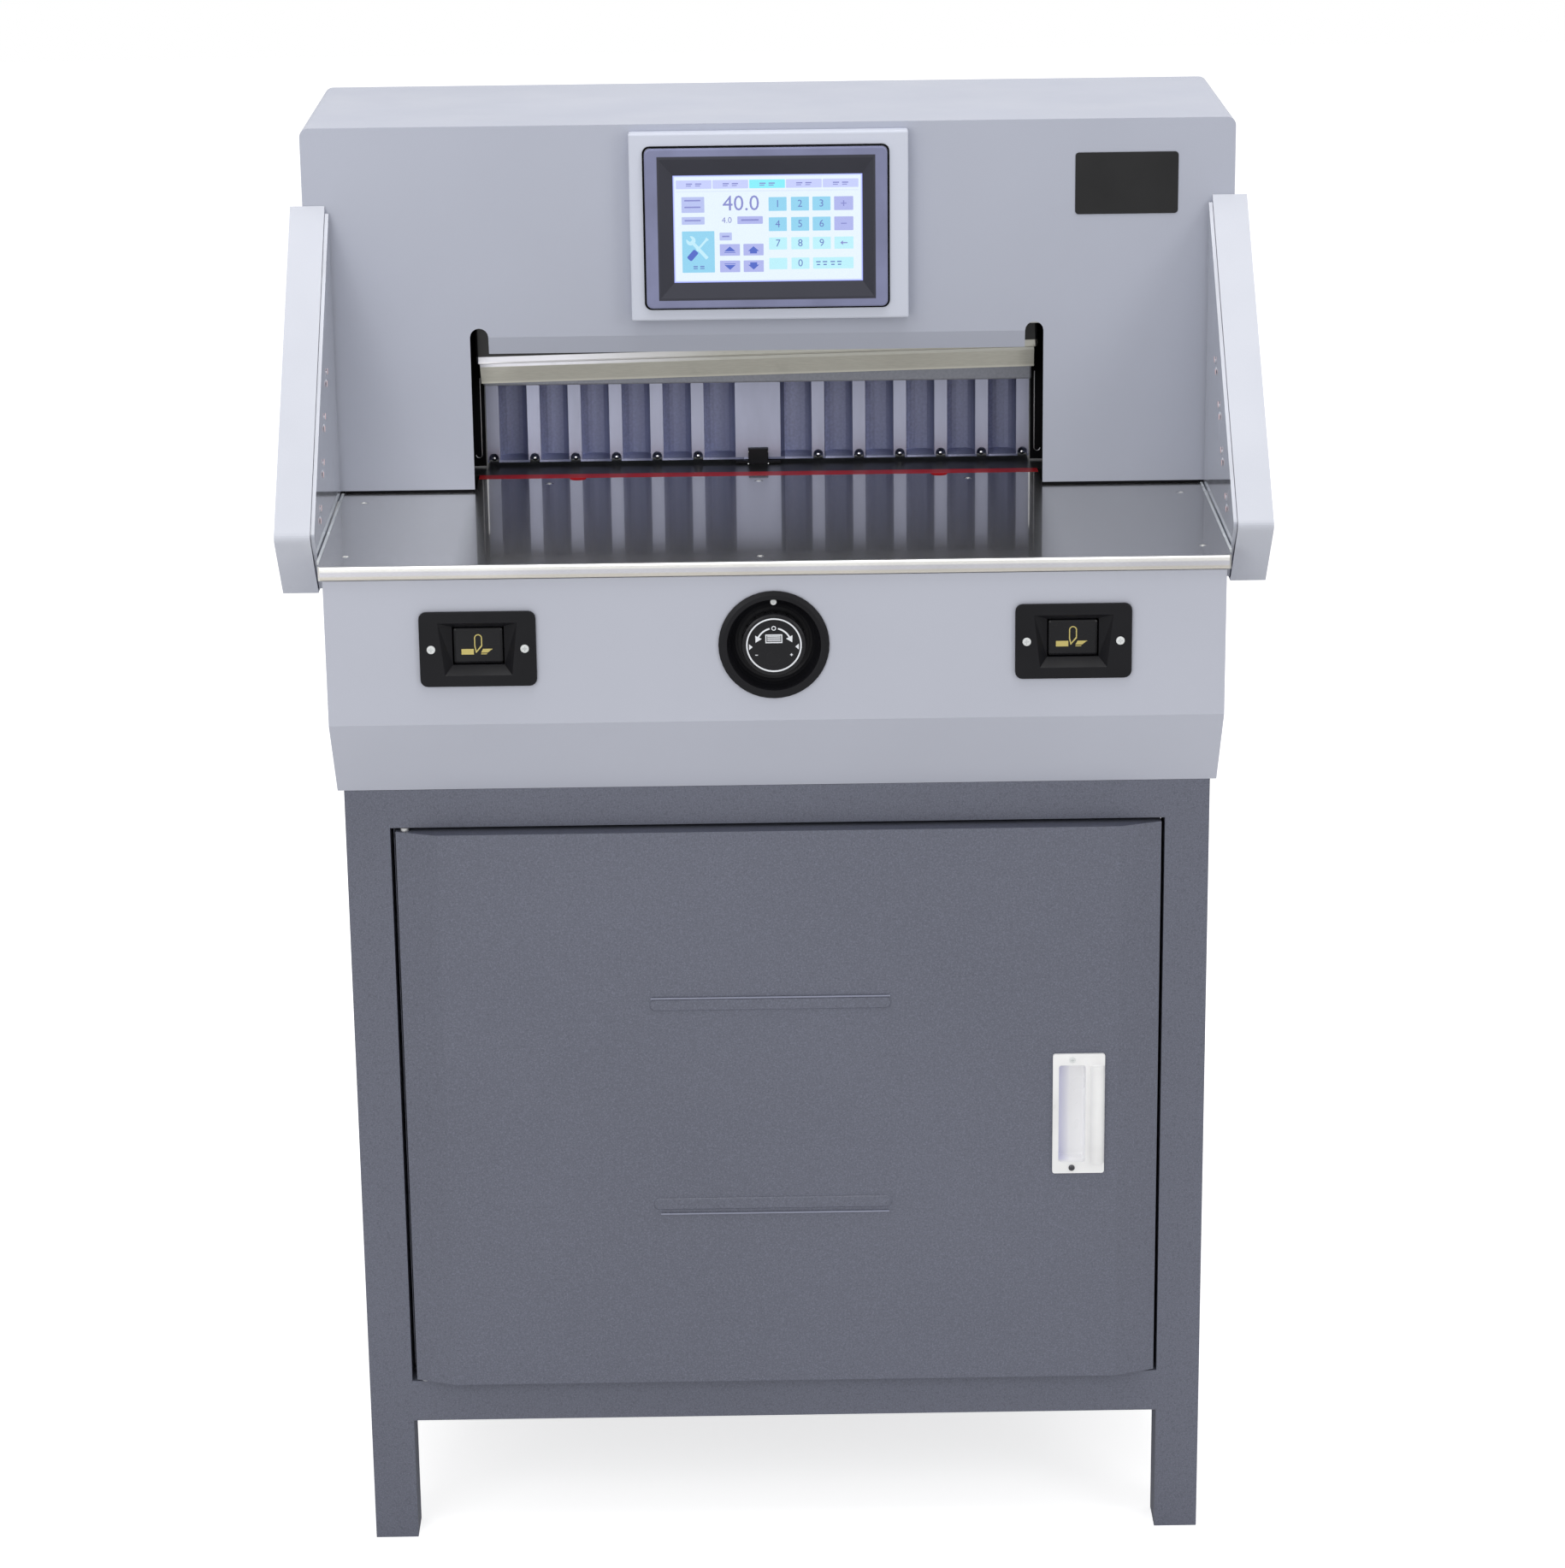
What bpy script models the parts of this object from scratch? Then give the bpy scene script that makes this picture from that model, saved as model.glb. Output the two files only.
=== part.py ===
# Automatic paper guillotine on a cabinet stand
# X runs to the right, Y to the back and Z up. Places are given from the front plane of the
# upper housing, and one empty moves the whole machine so that its box is centred on the origin.
import math
import bmesh
import bpy
from mathutils import Matrix, Vector

for old_object in list(bpy.data.objects):
    bpy.data.objects.remove(old_object, do_unlink=True)

# General fits
gap = 0.0003
running_gap = 0.0008
overrun = 0.002
merge_distance = 0.00001
sheet = 0.0015

# Whole machine
machine_height = 1.192
housing_width = 0.778
housing_depth = 0.237
guard_overhang = 0.0102
housing_height = 0.311
body_height = 0.202
front_reach = 0.252
rear_reach = 0.598
throat_offset = -0.0115
throat_width = 0.483

# Stand, cabinet and door
stand_inset = 0.0052
stand_front = -0.2006
stand_back = 0.250
leg_width = 0.0364
top_rail_height = 0.0326
bottom_rail_top = 0.1478
bottom_rail_height = 0.037
panel_sheet = 0.0015
floor_front_inset = 0.023
floor_back_inset = 0.018
door_left_gap = 0.0044
door_right_gap = 0.0029
door_top_gap = 0.0034
door_bottom_gap = 0.0015
door_sheet = 0.0015
door_rise = 0.012
door_edge_depth = 0.0145
door_left_facet = 0.0342
door_right_facet = 0.0343
door_rib_length = 0.201
door_rib_height = 0.0105
door_rib_rise = 0.0012
door_rib_offset = -0.008
door_rib_level_shares = (0.6951, 0.3332)
door_rib_round_share = 0.8
hinge_inset = 0.012
hinge_setback = 0.0034
hinge_pin_radius = 0.003
hinge_washer_radius = 0.0042
hinge_pin_reach = 0.016
handle_width = 0.0435
handle_height = 0.107
handle_inset = 0.0672
handle_level_share = 0.4894
handle_flange = 0.0022
handle_cup_width = 0.0225
handle_cup_height = 0.087
handle_cup_depth = 0.019
handle_cup_wall = 0.002
handle_cup_shift = -0.0055
handle_lip_width = 0.0125
handle_lip_rise = 0.0055
handle_corner = 0.002

# Base plate, side frames, bed and tables
base_sheet = 0.003
base_inset = 0.012
frame_thickness = 0.018
frame_clearance = 0.0205
frame_foot_front = -0.120
frame_foot_back = 0.236
frame_back = 0.200
frame_corner = 0.012
bed_thickness = 0.029
bed_front = -0.100
bed_back = 0.092
table_thickness = 0.0117
table_inset = 0.025
trim_depth = 0.0037
trim_inset = 0.0017
trim_height = 0.011
trim_radius = 0.0016
tongue_gap = 0.0005
screw_radius = 0.0035
screw_depth = 0.0015
side_screw_inset = 0.020
screw_row_inset = 0.020
screw_row_pitch = 0.1793
side_screw_shares = (0.1429, 0.8651)
front_screw_inset = 0.0195
stick_width = 0.015
stick_lead = 0.010
stick_notch_width = 0.014
stick_notch_depth = 0.009
stick_notch_round_share = 0.9
stick_notch_spread = 0.1555
rear_table_thickness = 0.0114
rear_wall_drop = 0.096
rear_wall_rise = 0.094
rear_wall_sheet = 0.003

# Covers
apron_front = -0.2485
apron_inset = 0.0033
apron_bend_rise = 0.0696
apron_return = -0.190
lower_cover_back = 0.252
housing_lift = 0.0023
cover_corner = 0.007
slot_width = 0.0155
slot_rise = 0.141
lip_top_rise = 0.1333
lip_bottom_rise = 0.1185
lip_slant = 0.0040
back_window_clearance = 0.0015

# Light guards
guard_width = 0.0288
guard_rise = 0.2465
guard_bend_front = -0.237
guard_bend_rise = 0.0197
guard_bottom_front = -0.1864
guard_drop = 0.0377
guard_bend_radius = 0.006
guard_sheet = 0.002
window_thickness = 0.003
window_edge = 0.003
lens_radius = 0.0024
lens_rise = 0.0006
lens_spread = 0.0042
lens_place_shares = ((0.3367, 0.4775), (0.4789, 0.3546), (0.5886, 0.2231), (0.7464, 0.1030))

# Screen
screen_frame_width = 0.232
screen_frame_height = 0.157
screen_top_margin = 0.0055
screen_frame_depth = 0.015
screen_frame_radius = 0.0015
bezel_width = 0.2015
bezel_height = 0.1336
bezel_offset = -0.00225
bezel_shift = -0.0005
bezel_rise = 0.0045
bezel_corner = 0.005
bezel_edge_round = 0.0012
bezel_body_inset = 0.004
bezel_mouth_width = 0.1792
bezel_mouth_height = 0.1177
bezel_slope_depth = 0.0052
display_width = 0.1575
display_height = 0.0899
display_offset = -0.00095
display_shift = -0.00105
glass_overlap = 0.003
glass_thickness = 0.004
glass_edge = 0.0008

# Cutting buttons and turning knob
control_drop = 0.069
button_inset = 0.1222
button_housing_width = 0.0936
button_housing_height = 0.062
button_housing_corner = 0.006
button_flange = 0.0028
button_mouth_top_width = 0.0644
button_mouth_bottom_width = 0.0545
button_mouth_height = 0.044
button_width = 0.040
button_height = 0.030
button_recess = 0.008
button_shift = 0.0009
button_travel = 0.004
button_length = 0.014
button_round = 0.0022
button_wall = 0.0025
button_screw_spread = 0.0375
button_screw_radius = 0.00375
button_screw_pocket = 0.0008
dish_radius = 0.0445
dish_offset = -0.0015
dish_flange = 0.0025
dish_rim_width = 0.0045
dish_depth = 0.0155
dish_floor_radius = 0.0285
dish_wall = 0.0022
dish_screw_radius = 0.0026
dish_screw_drop = 0.0395
knob_radius = 0.026
knob_length = 0.0125
knob_round = 0.002
knob_bevel_share = 0.3
knob_ring_radius = 0.0225
knob_ring_depth = 0.0006
knob_shaft_radius = 0.004
knob_flute_count = 18
knob_flute_radius = 0.0014
encoder_radius = 0.019
encoder_length = 0.026
encoder_shaft_reach = 0.008

# Knife and its drive
knife_tilt = math.radians(1.1)
pivot_inset = 0.018
pivot_rise = 0.159
pivot_pin_radius = 0.007
edge_drop = 0.0684
cut_plane = 0.057
blade_thickness = 0.007
blade_bevel = 0.0155
blade_land = 0.0003
blade_height = 0.110
blade_end_gap = 0.0015
carrier_drop = 0.0456
carrier_top = 0.050
carrier_front = 0.026
carrier_left_inset = 0.002
carrier_right_inset = 0.004
carrier_round = 0.002
knife_bolt_count = 6
knife_bolt_head_radius = 0.0065
knife_bolt_head = 0.005
knife_bolt_end_share = 0.08
rod_width = 0.0162
rod_front = 0.030
rod_depth = 0.016
rod_step = 0.0004
cheek_thickness = 0.0117
cheek_height = 0.044
cheek_reach = 0.050
edge_stop_gap = 0.0005
crank_left = 0.066
crank_pin_radius = 0.008
crank_pin_edge = 0.006
crank_disc_thickness = 0.012
yoke_wall = 0.010
yoke_slack_share = 0.1053
gearbox_width = 0.100
gearbox_depth = 0.088
gearbox_drop = 0.066
gearbox_round = 0.006
knife_motor_radius_share = 0.391
knife_motor_length = 0.122
knife_motor_level_share = 0.5186
knife_motor_cap = 0.012
motor_round = 0.004

# Clamp and its drive
clamp_front = 0.059
clamp_depth = 0.032
clamp_rest_rise = 0.079
clamp_height = 0.115
clamp_end_inset = 0.006
clamp_round = 0.0015
spindle_spread = 0.340
spindle_radius = 0.008
spindle_end_gap = 0.004
wheel_radius = 0.020
wheel_height = 0.0117
wheel_axle_radius = 0.004
belt_thickness = 0.0025
belt_height = 0.0085
bridge_front = 0.020
bridge_back = 0.130
bridge_rise = 0.239
bridge_thickness = 0.030
clamp_motor_radius = 0.020
clamp_motor_length = 0.0407

# Back gauge and its drive
gauge_face = 0.097
gauge_depth = 0.032
gauge_lift = 0.003
gauge_height = 0.086
gauge_back_room = 0.178
gauge_rib_count = 6
gauge_rib_width = 0.011
gauge_first_rib = 0.0524
gauge_rib_pitch = 0.0356
gauge_flat_width = 0.0393
groove_depth = 0.026
groove_corner = 0.0088
gauge_sole = 0.0018
arch_width = 0.0085
arch_height = 0.0080
arch_depth = 0.010
ball_radius = 0.00235
ball_stem_radius = 0.0012
ball_stem_length = 0.004
block_width = 0.0168
block_front = 0.093
block_depth = 0.034
block_rise = 0.013
wing_width = 0.0394
wing_thickness = 0.0022
wing_lift = 0.0005
carriage_width = 0.176
carriage_front = 0.100
carriage_depth = 0.050
carriage_height = 0.034
carriage_tower_width = 0.040
drive_drop = 0.073
lead_screw_radius = 0.007
lead_journal_radius = 0.005
guide_rod_radius = 0.008
guide_rod_spread = 0.150
bearer_width = 0.196
bearer_depth = 0.020
bearer_front = 0.076
bearer_height = 0.050
gauge_motor_radius = 0.028
gauge_motor_length = 0.054

# Electric pieces in the cabinet
control_box_width = 0.260
control_box_depth = 0.110
control_box_height = 0.220
control_box_round = 0.004
control_box_offset = 0.040
inlet_width = 0.048
inlet_height = 0.028
inlet_offset = 0.230
inlet_rise = 0.0422
inlet_flange = 0.0025
inlet_body_inset = 0.004
inlet_depth = 0.022
inlet_socket_wall = 0.0035

# Places that follow from the sizes
table_top = machine_height - housing_height
stand_height = table_top - body_height
guard_top = table_top + guard_rise
guard_bend_height = table_top + guard_bend_rise
guard_bottom = table_top - guard_drop
housing_bottom = table_top + housing_lift
slot_top = table_top + slot_rise
lip_top = table_top + lip_top_rise
lip_bottom = table_top + lip_bottom_rise
screen_frame_bottom = machine_height - screen_top_margin - screen_frame_height
bezel_centre = screen_frame_bottom + screen_frame_height / 2 + bezel_shift
display_centre = bezel_centre + display_shift
pivot_height = table_top + pivot_rise
gearbox_top = table_top - gearbox_drop
clamp_rest_bottom = table_top + clamp_rest_rise
bridge_bottom = table_top + bridge_rise
gauge_foot = table_top + gauge_lift
block_top = table_top + block_rise
drive_height = table_top - drive_drop
control_height = table_top - control_drop
button_centre = control_height + button_shift
apron_bend = stand_height + apron_bend_rise
rear_wall_bottom = table_top - rear_wall_drop
rear_wall_top = table_top + rear_wall_rise
inlet_height_place = bottom_rail_top + inlet_rise
gauge_travel = rear_reach - gauge_back_room
front_screw_place = -front_reach + front_screw_inset
apron_bottom_front = stand_front - gap
centre_back = (rear_reach - front_reach) / 2
throat_left = throat_offset - throat_width / 2
throat_right = throat_offset + throat_width / 2
frame_left = throat_left - frame_clearance
frame_right = throat_right + frame_clearance
housing_half = housing_width / 2
guard_span = housing_width + 2 * guard_overhang
table_half_width = housing_half - table_inset
trim_half_width = table_half_width - trim_inset
apron_half_width = table_half_width - apron_inset
button_spread = 2 * (apron_half_width - button_inset)
stand_width = 2 * (apron_half_width - stand_inset)
stand_half = stand_width / 2
leg_inside = stand_half - leg_width
rail_underside = stand_height - top_rail_height
bottom_rail_under = bottom_rail_top - bottom_rail_height
base_bottom = stand_height + gap
base_top = base_bottom + base_sheet
table_underside = table_top - table_thickness
bed_top = table_underside - gap
bed_bottom = bed_top - bed_thickness
table_back = frame_foot_back
knife_motor_room = bed_bottom - gap - bearer_height - base_top
knife_motor_height = base_top + knife_motor_level_share * knife_motor_room
knife_motor_radius = knife_motor_radius_share * knife_motor_room
crank_centre_height = (base_top + bed_bottom) / 2
stick_front = cut_plane - stick_lead
stick_back = stick_front + stick_width
frame_front = sheet + gap
pivot_right = throat_right - pivot_inset
rod_right = frame_right - gap
rod_left = rod_right - rod_width
crank_place = rod_right - crank_left
knife_drop = pivot_height - edge_drop - table_top - edge_stop_gap
crank_radius = knife_drop / 2
yoke_slack = knife_drop * yoke_slack_share
yoke_slot_half = yoke_slack + crank_pin_radius + running_gap
yoke_rest_height = crank_centre_height + crank_radius
clamp_middle = clamp_front + clamp_depth / 2
clamp_top = clamp_rest_bottom + clamp_height
bridge_top = bridge_bottom + bridge_thickness
wheel_bottom = bridge_top + gap
door_front = stand_front - door_rise
door_left = -leg_inside + door_left_gap
door_right = leg_inside - door_right_gap
door_bottom = bottom_rail_top + door_bottom_gap
door_top = rail_underside - door_top_gap
door_back = stand_front + door_edge_depth
hinge_place = (-leg_inside + hinge_inset, stand_front + hinge_setback)
guard_outer = guard_span / 2
guard_inner = guard_outer - guard_width
door_height = door_top - door_bottom
door_rib_levels = [door_bottom + share * door_height for share in door_rib_level_shares]
handle_place = (door_right - handle_inset, door_bottom + handle_level_share * door_height)
side_screw_places = [-share * front_reach for share in side_screw_shares]
lens_places = [(across * guard_bend_front, table_top + up * guard_rise) for across, up in lens_place_shares]
parts = bpy.data.collections.new("paper_guillotine")
cutters = bpy.data.collections.new("cutters")
bpy.context.scene.collection.children.link(parts)
bpy.context.scene.collection.children.link(cutters)


def paint(name, colour, roughness, metallic):
    material = bpy.data.materials.new(name)
    material.use_nodes = True
    shader = material.node_tree.nodes["Principled BSDF"]
    shader.inputs["Base Color"].default_value = (*colour, 1)
    shader.inputs["Roughness"].default_value = roughness
    shader.inputs["Metallic"].default_value = metallic
    return material


# One finish for each sort of surface: colour, roughness, metallic
finishes = {
    "housing_grey": ((0.42, 0.44, 0.47), 0.45, 0.1),
    "guard_grey": ((0.72, 0.73, 0.76), 0.4, 0.1),
    "stand_blue_grey": ((0.13, 0.135, 0.17), 0.55, 0.2),
    "steel": ((0.45, 0.44, 0.42), 0.3, 1),
    "bright_steel": ((0.72, 0.70, 0.64), 0.2, 1),
    "cast_grey": ((0.30, 0.31, 0.33), 0.5, 0.8),
    "black_plastic": ((0.02, 0.02, 0.022), 0.35, 0),
    "dark_grey_plastic": ((0.05, 0.05, 0.055), 0.45, 0),
    "white_plastic": ((0.82, 0.82, 0.82), 0.35, 0),
    "red_plastic": ((0.55, 0.02, 0.02), 0.4, 0),
    "dark_glass": ((0.25, 0.26, 0.28), 0.1, 0),
    "screen_glass": ((0.35, 0.45, 0.75), 0.1, 0),
    "belt_rubber": ((0.015, 0.015, 0.015), 0.8, 0),
}


def finish(obj, look):
    obj.data.materials.clear()
    obj.data.materials.append(paint(obj.name + "_" + look, *finishes[look]))


def keep(obj, name, look):
    obj.name = name
    for collection in list(obj.users_collection):
        collection.objects.unlink(obj)
    parts.objects.link(obj)
    finish(obj, look)
    return obj


def as_cutter(obj):
    for collection in list(obj.users_collection):
        collection.objects.unlink(obj)
    cutters.objects.link(obj)
    obj.hide_render = True
    obj.display_type = "WIRE"
    return obj


def new_object(mesh_builder, place=(0, 0, 0)):
    mesh = bpy.data.meshes.new("shape")
    mesh_builder.to_mesh(mesh)
    mesh_builder.free()
    obj = bpy.data.objects.new("shape", mesh)
    obj.location = place
    bpy.context.scene.collection.objects.link(obj)
    return obj


def box(low, high):
    low, high = Vector(low), Vector(high)
    builder = bmesh.new()
    bmesh.ops.create_cube(builder, size=1)
    bmesh.ops.scale(builder, vec=high - low, verts=builder.verts)
    return new_object(builder, (low + high) / 2)


# Turns a shape that was drawn in X and Y so that its thickness runs along the named axis
turns = {
    "Z": Matrix.Identity(4),
    "Y": Matrix(((1, 0, 0, 0), (0, 0, -1, 0), (0, 1, 0, 0), (0, 0, 0, 1))),
    "X": Matrix(((0, 0, 1, 0), (1, 0, 0, 0), (0, 1, 0, 0), (0, 0, 0, 1))),
}


def extruded(outlines, start, end, axis):
    curve = bpy.data.curves.new("outline", "CURVE")
    curve.dimensions = "2D"
    curve.fill_mode = "BOTH"
    curve.extrude = (end - start) / 2
    for outline in outlines:
        spline = curve.splines.new("POLY")
        spline.points.add(len(outline) - 1)
        for point, place in zip(spline.points, outline):
            point.co = (place[0], place[1], 0, 1)
        spline.use_cyclic_u = True
    drawn = bpy.data.objects.new("outline", curve)
    bpy.context.scene.collection.objects.link(drawn)
    bpy.context.view_layer.update()
    evaluated = drawn.evaluated_get(bpy.context.evaluated_depsgraph_get())
    mesh = bpy.data.meshes.new_from_object(evaluated)
    bpy.data.objects.remove(drawn, do_unlink=True)
    builder = bmesh.new()
    builder.from_mesh(mesh)
    bpy.data.meshes.remove(mesh)
    bmesh.ops.remove_doubles(builder, verts=builder.verts, dist=gap / 100)
    if len(outlines) == 1:
        for side in (-1, 1):
            cap = [face for face in builder.faces if all(side * corner.co.z > 0 for corner in face.verts)]
            bmesh.ops.dissolve_faces(builder, faces=cap)
    middle = (start + end) / 2
    along = {"X": (middle, 0, 0), "Y": (0, middle, 0), "Z": (0, 0, middle)}[axis]
    bmesh.ops.transform(builder, matrix=turns[axis], verts=builder.verts)
    bmesh.ops.recalc_face_normals(builder, faces=builder.faces)
    return new_object(builder, along)


smooth_angle = math.radians(35)
quarter = math.radians(90)
facing_share = 0.99
groove_steps = 4
ball_steps = 4


def arc(centre, radius, start, end, steps):
    points = []
    for step in range(steps + 1):
        angle = start + (end - start) * step / steps
        points.append((centre[0] + radius * math.cos(angle), centre[1] + radius * math.sin(angle)))
    return points


def rounded_rectangle(low, high, radius, steps=4):
    corners = (
        ((high[0] - radius, low[1] + radius), -quarter),
        ((high[0] - radius, high[1] - radius), 0),
        ((low[0] + radius, high[1] - radius), quarter),
        ((low[0] + radius, low[1] + radius), 2 * quarter),
    )
    outline = []
    for centre, start in corners:
        outline += arc(centre, radius, start, start + quarter, steps)
    return outline


# A turned piece: the profile runs down its outer side, from the top of its axis to the bottom
def turned(profile, place, axis="Z", steps=32, closed=False):
    builder = bmesh.new()
    corners = [builder.verts.new((radius, 0, height)) for radius, height in profile]
    for first, second in zip(corners, corners[1:]):
        builder.edges.new((first, second))
    if closed:
        builder.edges.new((corners[-1], corners[0]))
    obj = new_object(builder, place)
    obj.rotation_euler = {"Z": (0, 0, 0), "Y": (-quarter, 0, 0), "X": (0, quarter, 0)}[axis]
    screw = obj.modifiers.new("turn", "SCREW")
    screw.angle = 4 * quarter
    screw.steps = steps
    screw.render_steps = steps
    screw.use_merge_vertices = True
    screw.merge_threshold = merge_distance
    screw.use_smooth_shade = False
    return fixed(obj)


# Replaces an object by its evaluated mesh, so that it can be cut and shaded
def fixed(obj):
    bpy.context.view_layer.update()
    evaluated = obj.evaluated_get(bpy.context.evaluated_depsgraph_get())
    mesh = bpy.data.meshes.new_from_object(evaluated)
    obj.modifiers.clear()
    obj.data = mesh
    return obj


def shaded(obj):
    obj.data.shade_smooth()
    obj.data.set_sharp_from_angle(angle=smooth_angle)
    return obj


def cylinder(radius, start, end, place, axis="Z", steps=24):
    profile = ((0, end), (radius, end), (radius, start), (0, start))
    return shaded(turned(profile, place, axis, steps))


def combined(obj, others, operation):
    for other in others:
        as_cutter(other)
        step = obj.modifiers.new(operation.lower(), "BOOLEAN")
        step.operation = operation
        step.object = other
    fixed(obj)
    for other in others:
        bpy.data.objects.remove(other, do_unlink=True)
    return obj


def cut(obj, *others):
    return combined(obj, others, "DIFFERENCE")


def joined(obj, *others):
    return combined(obj, others, "UNION")


# Makes a closed solid into a folded sheet that is open towards the given directions
def folded_sheet(obj, thickness, directions):
    builder = bmesh.new()
    builder.from_mesh(obj.data)
    wanted = [Vector(direction) for direction in directions]
    opened = [face for face in builder.faces if any(face.normal.dot(way) > facing_share for way in wanted)]
    bmesh.ops.delete(builder, geom=opened, context="FACES")
    builder.to_mesh(obj.data)
    builder.free()
    skin = obj.modifiers.new("sheet", "SOLIDIFY")
    skin.thickness = thickness
    skin.offset = -1
    skin.use_even_offset = True
    return fixed(obj)


def bevelled(obj, width, segments=2, angle=math.radians(40)):
    edge = obj.modifiers.new("round", "BEVEL")
    edge.width = width
    edge.segments = segments
    edge.limit_method = "ANGLE"
    edge.angle_limit = angle
    return fixed(obj)


# Moves an object's origin to a joint's axis and leaves the shape where it is
def pivot_at(obj, place):
    bpy.context.view_layer.update()
    shift = obj.matrix_world.copy()
    obj.data.transform(Matrix.Translation(-Vector(place)) @ shift)
    obj.rotation_euler = (0, 0, 0)
    obj.location = place
    return obj


def make_stand():
    half, inside = stand_half, leg_inside
    outer = (
        (-half, 0), (-inside, 0), (-inside, bottom_rail_under), (inside, bottom_rail_under),
        (inside, 0), (half, 0), (half, stand_height), (-half, stand_height),
    )
    window = (
        (-inside, bottom_rail_top), (inside, bottom_rail_top),
        (inside, rail_underside), (-inside, rail_underside),
    )
    frame = extruded((outer, window), stand_front, stand_front + leg_width, "Y")
    back = extruded((outer, window), stand_back - leg_width, stand_back, "Y")
    rail_front = stand_front + leg_width / 2
    rail_back = stand_back - leg_width / 2
    rails = []
    for left, right in ((-half, -inside), (inside, half)):
        for bottom, top in ((bottom_rail_under, bottom_rail_top), (rail_underside, stand_height)):
            rails.append(box((left, rail_front, bottom), (right, rail_back, top)))
    keep(joined(frame, back, *rails), "stand_frame", "stand_blue_grey")


def make_cabinet():
    side = leg_inside - gap
    floor_bottom = bottom_rail_top + gap
    floor_top = floor_bottom + panel_sheet
    front = stand_front + leg_width + gap
    back = stand_back - leg_width - gap
    floor = box((-side, stand_front + floor_front_inset, floor_bottom),
                (side, stand_back - floor_back_inset, floor_top))
    keep(floor, "cabinet_floor", "stand_blue_grey")
    shell = box((-side, front, floor_top + gap), (side, back, stand_height))
    folded_sheet(shell, panel_sheet, ((0, 0, 1), (0, 0, -1), (0, -1, 0)))
    body_half = inlet_width / 2 - inlet_body_inset + gap
    body_height = inlet_height / 2 - inlet_body_inset + gap
    hole = box((inlet_offset - body_half, back - overrun - panel_sheet, inlet_height_place - body_height),
               (inlet_offset + body_half, back + overrun, inlet_height_place + body_height))
    keep(cut(shell, hole), "cabinet_shell", "stand_blue_grey")
    box_back = back - panel_sheet - gap
    half = control_box_width / 2
    electric = box((control_box_offset - half, box_back - control_box_depth, floor_top + gap),
                   (control_box_offset + half, box_back, floor_top + gap + control_box_height))
    keep(bevelled(electric, control_box_round), "control_box", "cast_grey")
    flange = rounded_rectangle((inlet_offset - inlet_width / 2, inlet_height_place - inlet_height / 2),
                               (inlet_offset + inlet_width / 2, inlet_height_place + inlet_height / 2),
                               inlet_body_inset)
    inlet = extruded((flange,), back + gap, back + gap + inlet_flange, "Y")
    body_half -= gap
    body_height -= gap
    body = box((inlet_offset - body_half, back - inlet_depth, inlet_height_place - body_height),
               (inlet_offset + body_half, back + gap + inlet_flange / 2, inlet_height_place + body_height))
    joined(inlet, body)
    socket_half = body_half - inlet_socket_wall
    socket_height = body_height - inlet_socket_wall
    socket = box((inlet_offset - socket_half, back - inlet_depth + inlet_socket_wall,
                  inlet_height_place - socket_height),
                 (inlet_offset + socket_half, back + inlet_flange + overrun,
                  inlet_height_place + socket_height))
    keep(cut(inlet, socket), "power_inlet", "black_plastic")


def make_door():
    outline = (
        (door_left, door_back), (door_left, stand_front), (door_left + door_left_facet, door_front),
        (door_right - door_right_facet, door_front), (door_right, stand_front), (door_right, door_back),
    )
    door = extruded((outline,), door_bottom, door_top, "Z")
    folded_sheet(door, door_sheet, ((0, 1, 0),))
    for level in door_rib_levels:
        low = (door_rib_offset - door_rib_length / 2, level - door_rib_height / 2)
        high = (door_rib_offset + door_rib_length / 2, level + door_rib_height / 2)
        bead = rounded_rectangle(low, high, door_rib_height / 2 - gap, 6)
        rib = extruded((bead,), door_front - door_rib_rise, door_front + door_sheet / 2, "Y")
        joined(door, bevelled(rib, door_rib_rise * door_rib_round_share, 1))
    x, y = hinge_place
    pin_hole = cylinder(hinge_pin_radius + gap, door_bottom - overrun, door_top + overrun, (x, y, 0))
    centre, height = handle_place
    half = handle_cup_width / 2 + handle_cup_wall + gap
    tall = handle_cup_height / 2 + handle_cup_wall + gap
    middle = centre + handle_cup_shift
    cup_hole = box((middle - half, door_front - overrun, height - tall),
                   (middle + half, door_front + door_sheet + overrun, height + tall))
    cut(door, pin_hole, cup_hole)
    keep(pivot_at(door, (x, y, (door_bottom + door_top) / 2)), "cabinet_door", "stand_blue_grey")


def make_handle():
    centre, height = handle_place
    front = door_front - gap - handle_flange
    left = centre - handle_width / 2
    right = centre + handle_width / 2
    plate = rounded_rectangle((left, height - handle_height / 2), (right, height + handle_height / 2),
                              handle_corner)
    handle = extruded((plate,), front, door_front - gap, "Y")
    middle = centre + handle_cup_shift
    half = handle_cup_width / 2
    tall = handle_cup_height / 2
    wall = handle_cup_wall
    cup = box((middle - half - wall, front + wall / 2, height - tall - wall),
              (middle + half + wall, front + handle_cup_depth, height + tall + wall))
    lip_middle = right - handle_lip_width / 2
    lip_outline = []
    for step in range(13):
        angle = 2 * quarter * step / 12
        lip_outline.append((lip_middle + handle_lip_width / 2 * math.cos(angle),
                            front + wall / 2 - (handle_lip_rise + wall / 2) * math.sin(angle)))
    lip = extruded((lip_outline,), height - tall, height + tall, "Z")
    joined(handle, cup, lip)
    recess = box((middle - half, front - overrun, height - tall),
                 (middle + half, front + handle_cup_depth - wall, height + tall))
    keep(shaded(cut(handle, bevelled(recess, wall))), "door_handle", "white_plastic")


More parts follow.
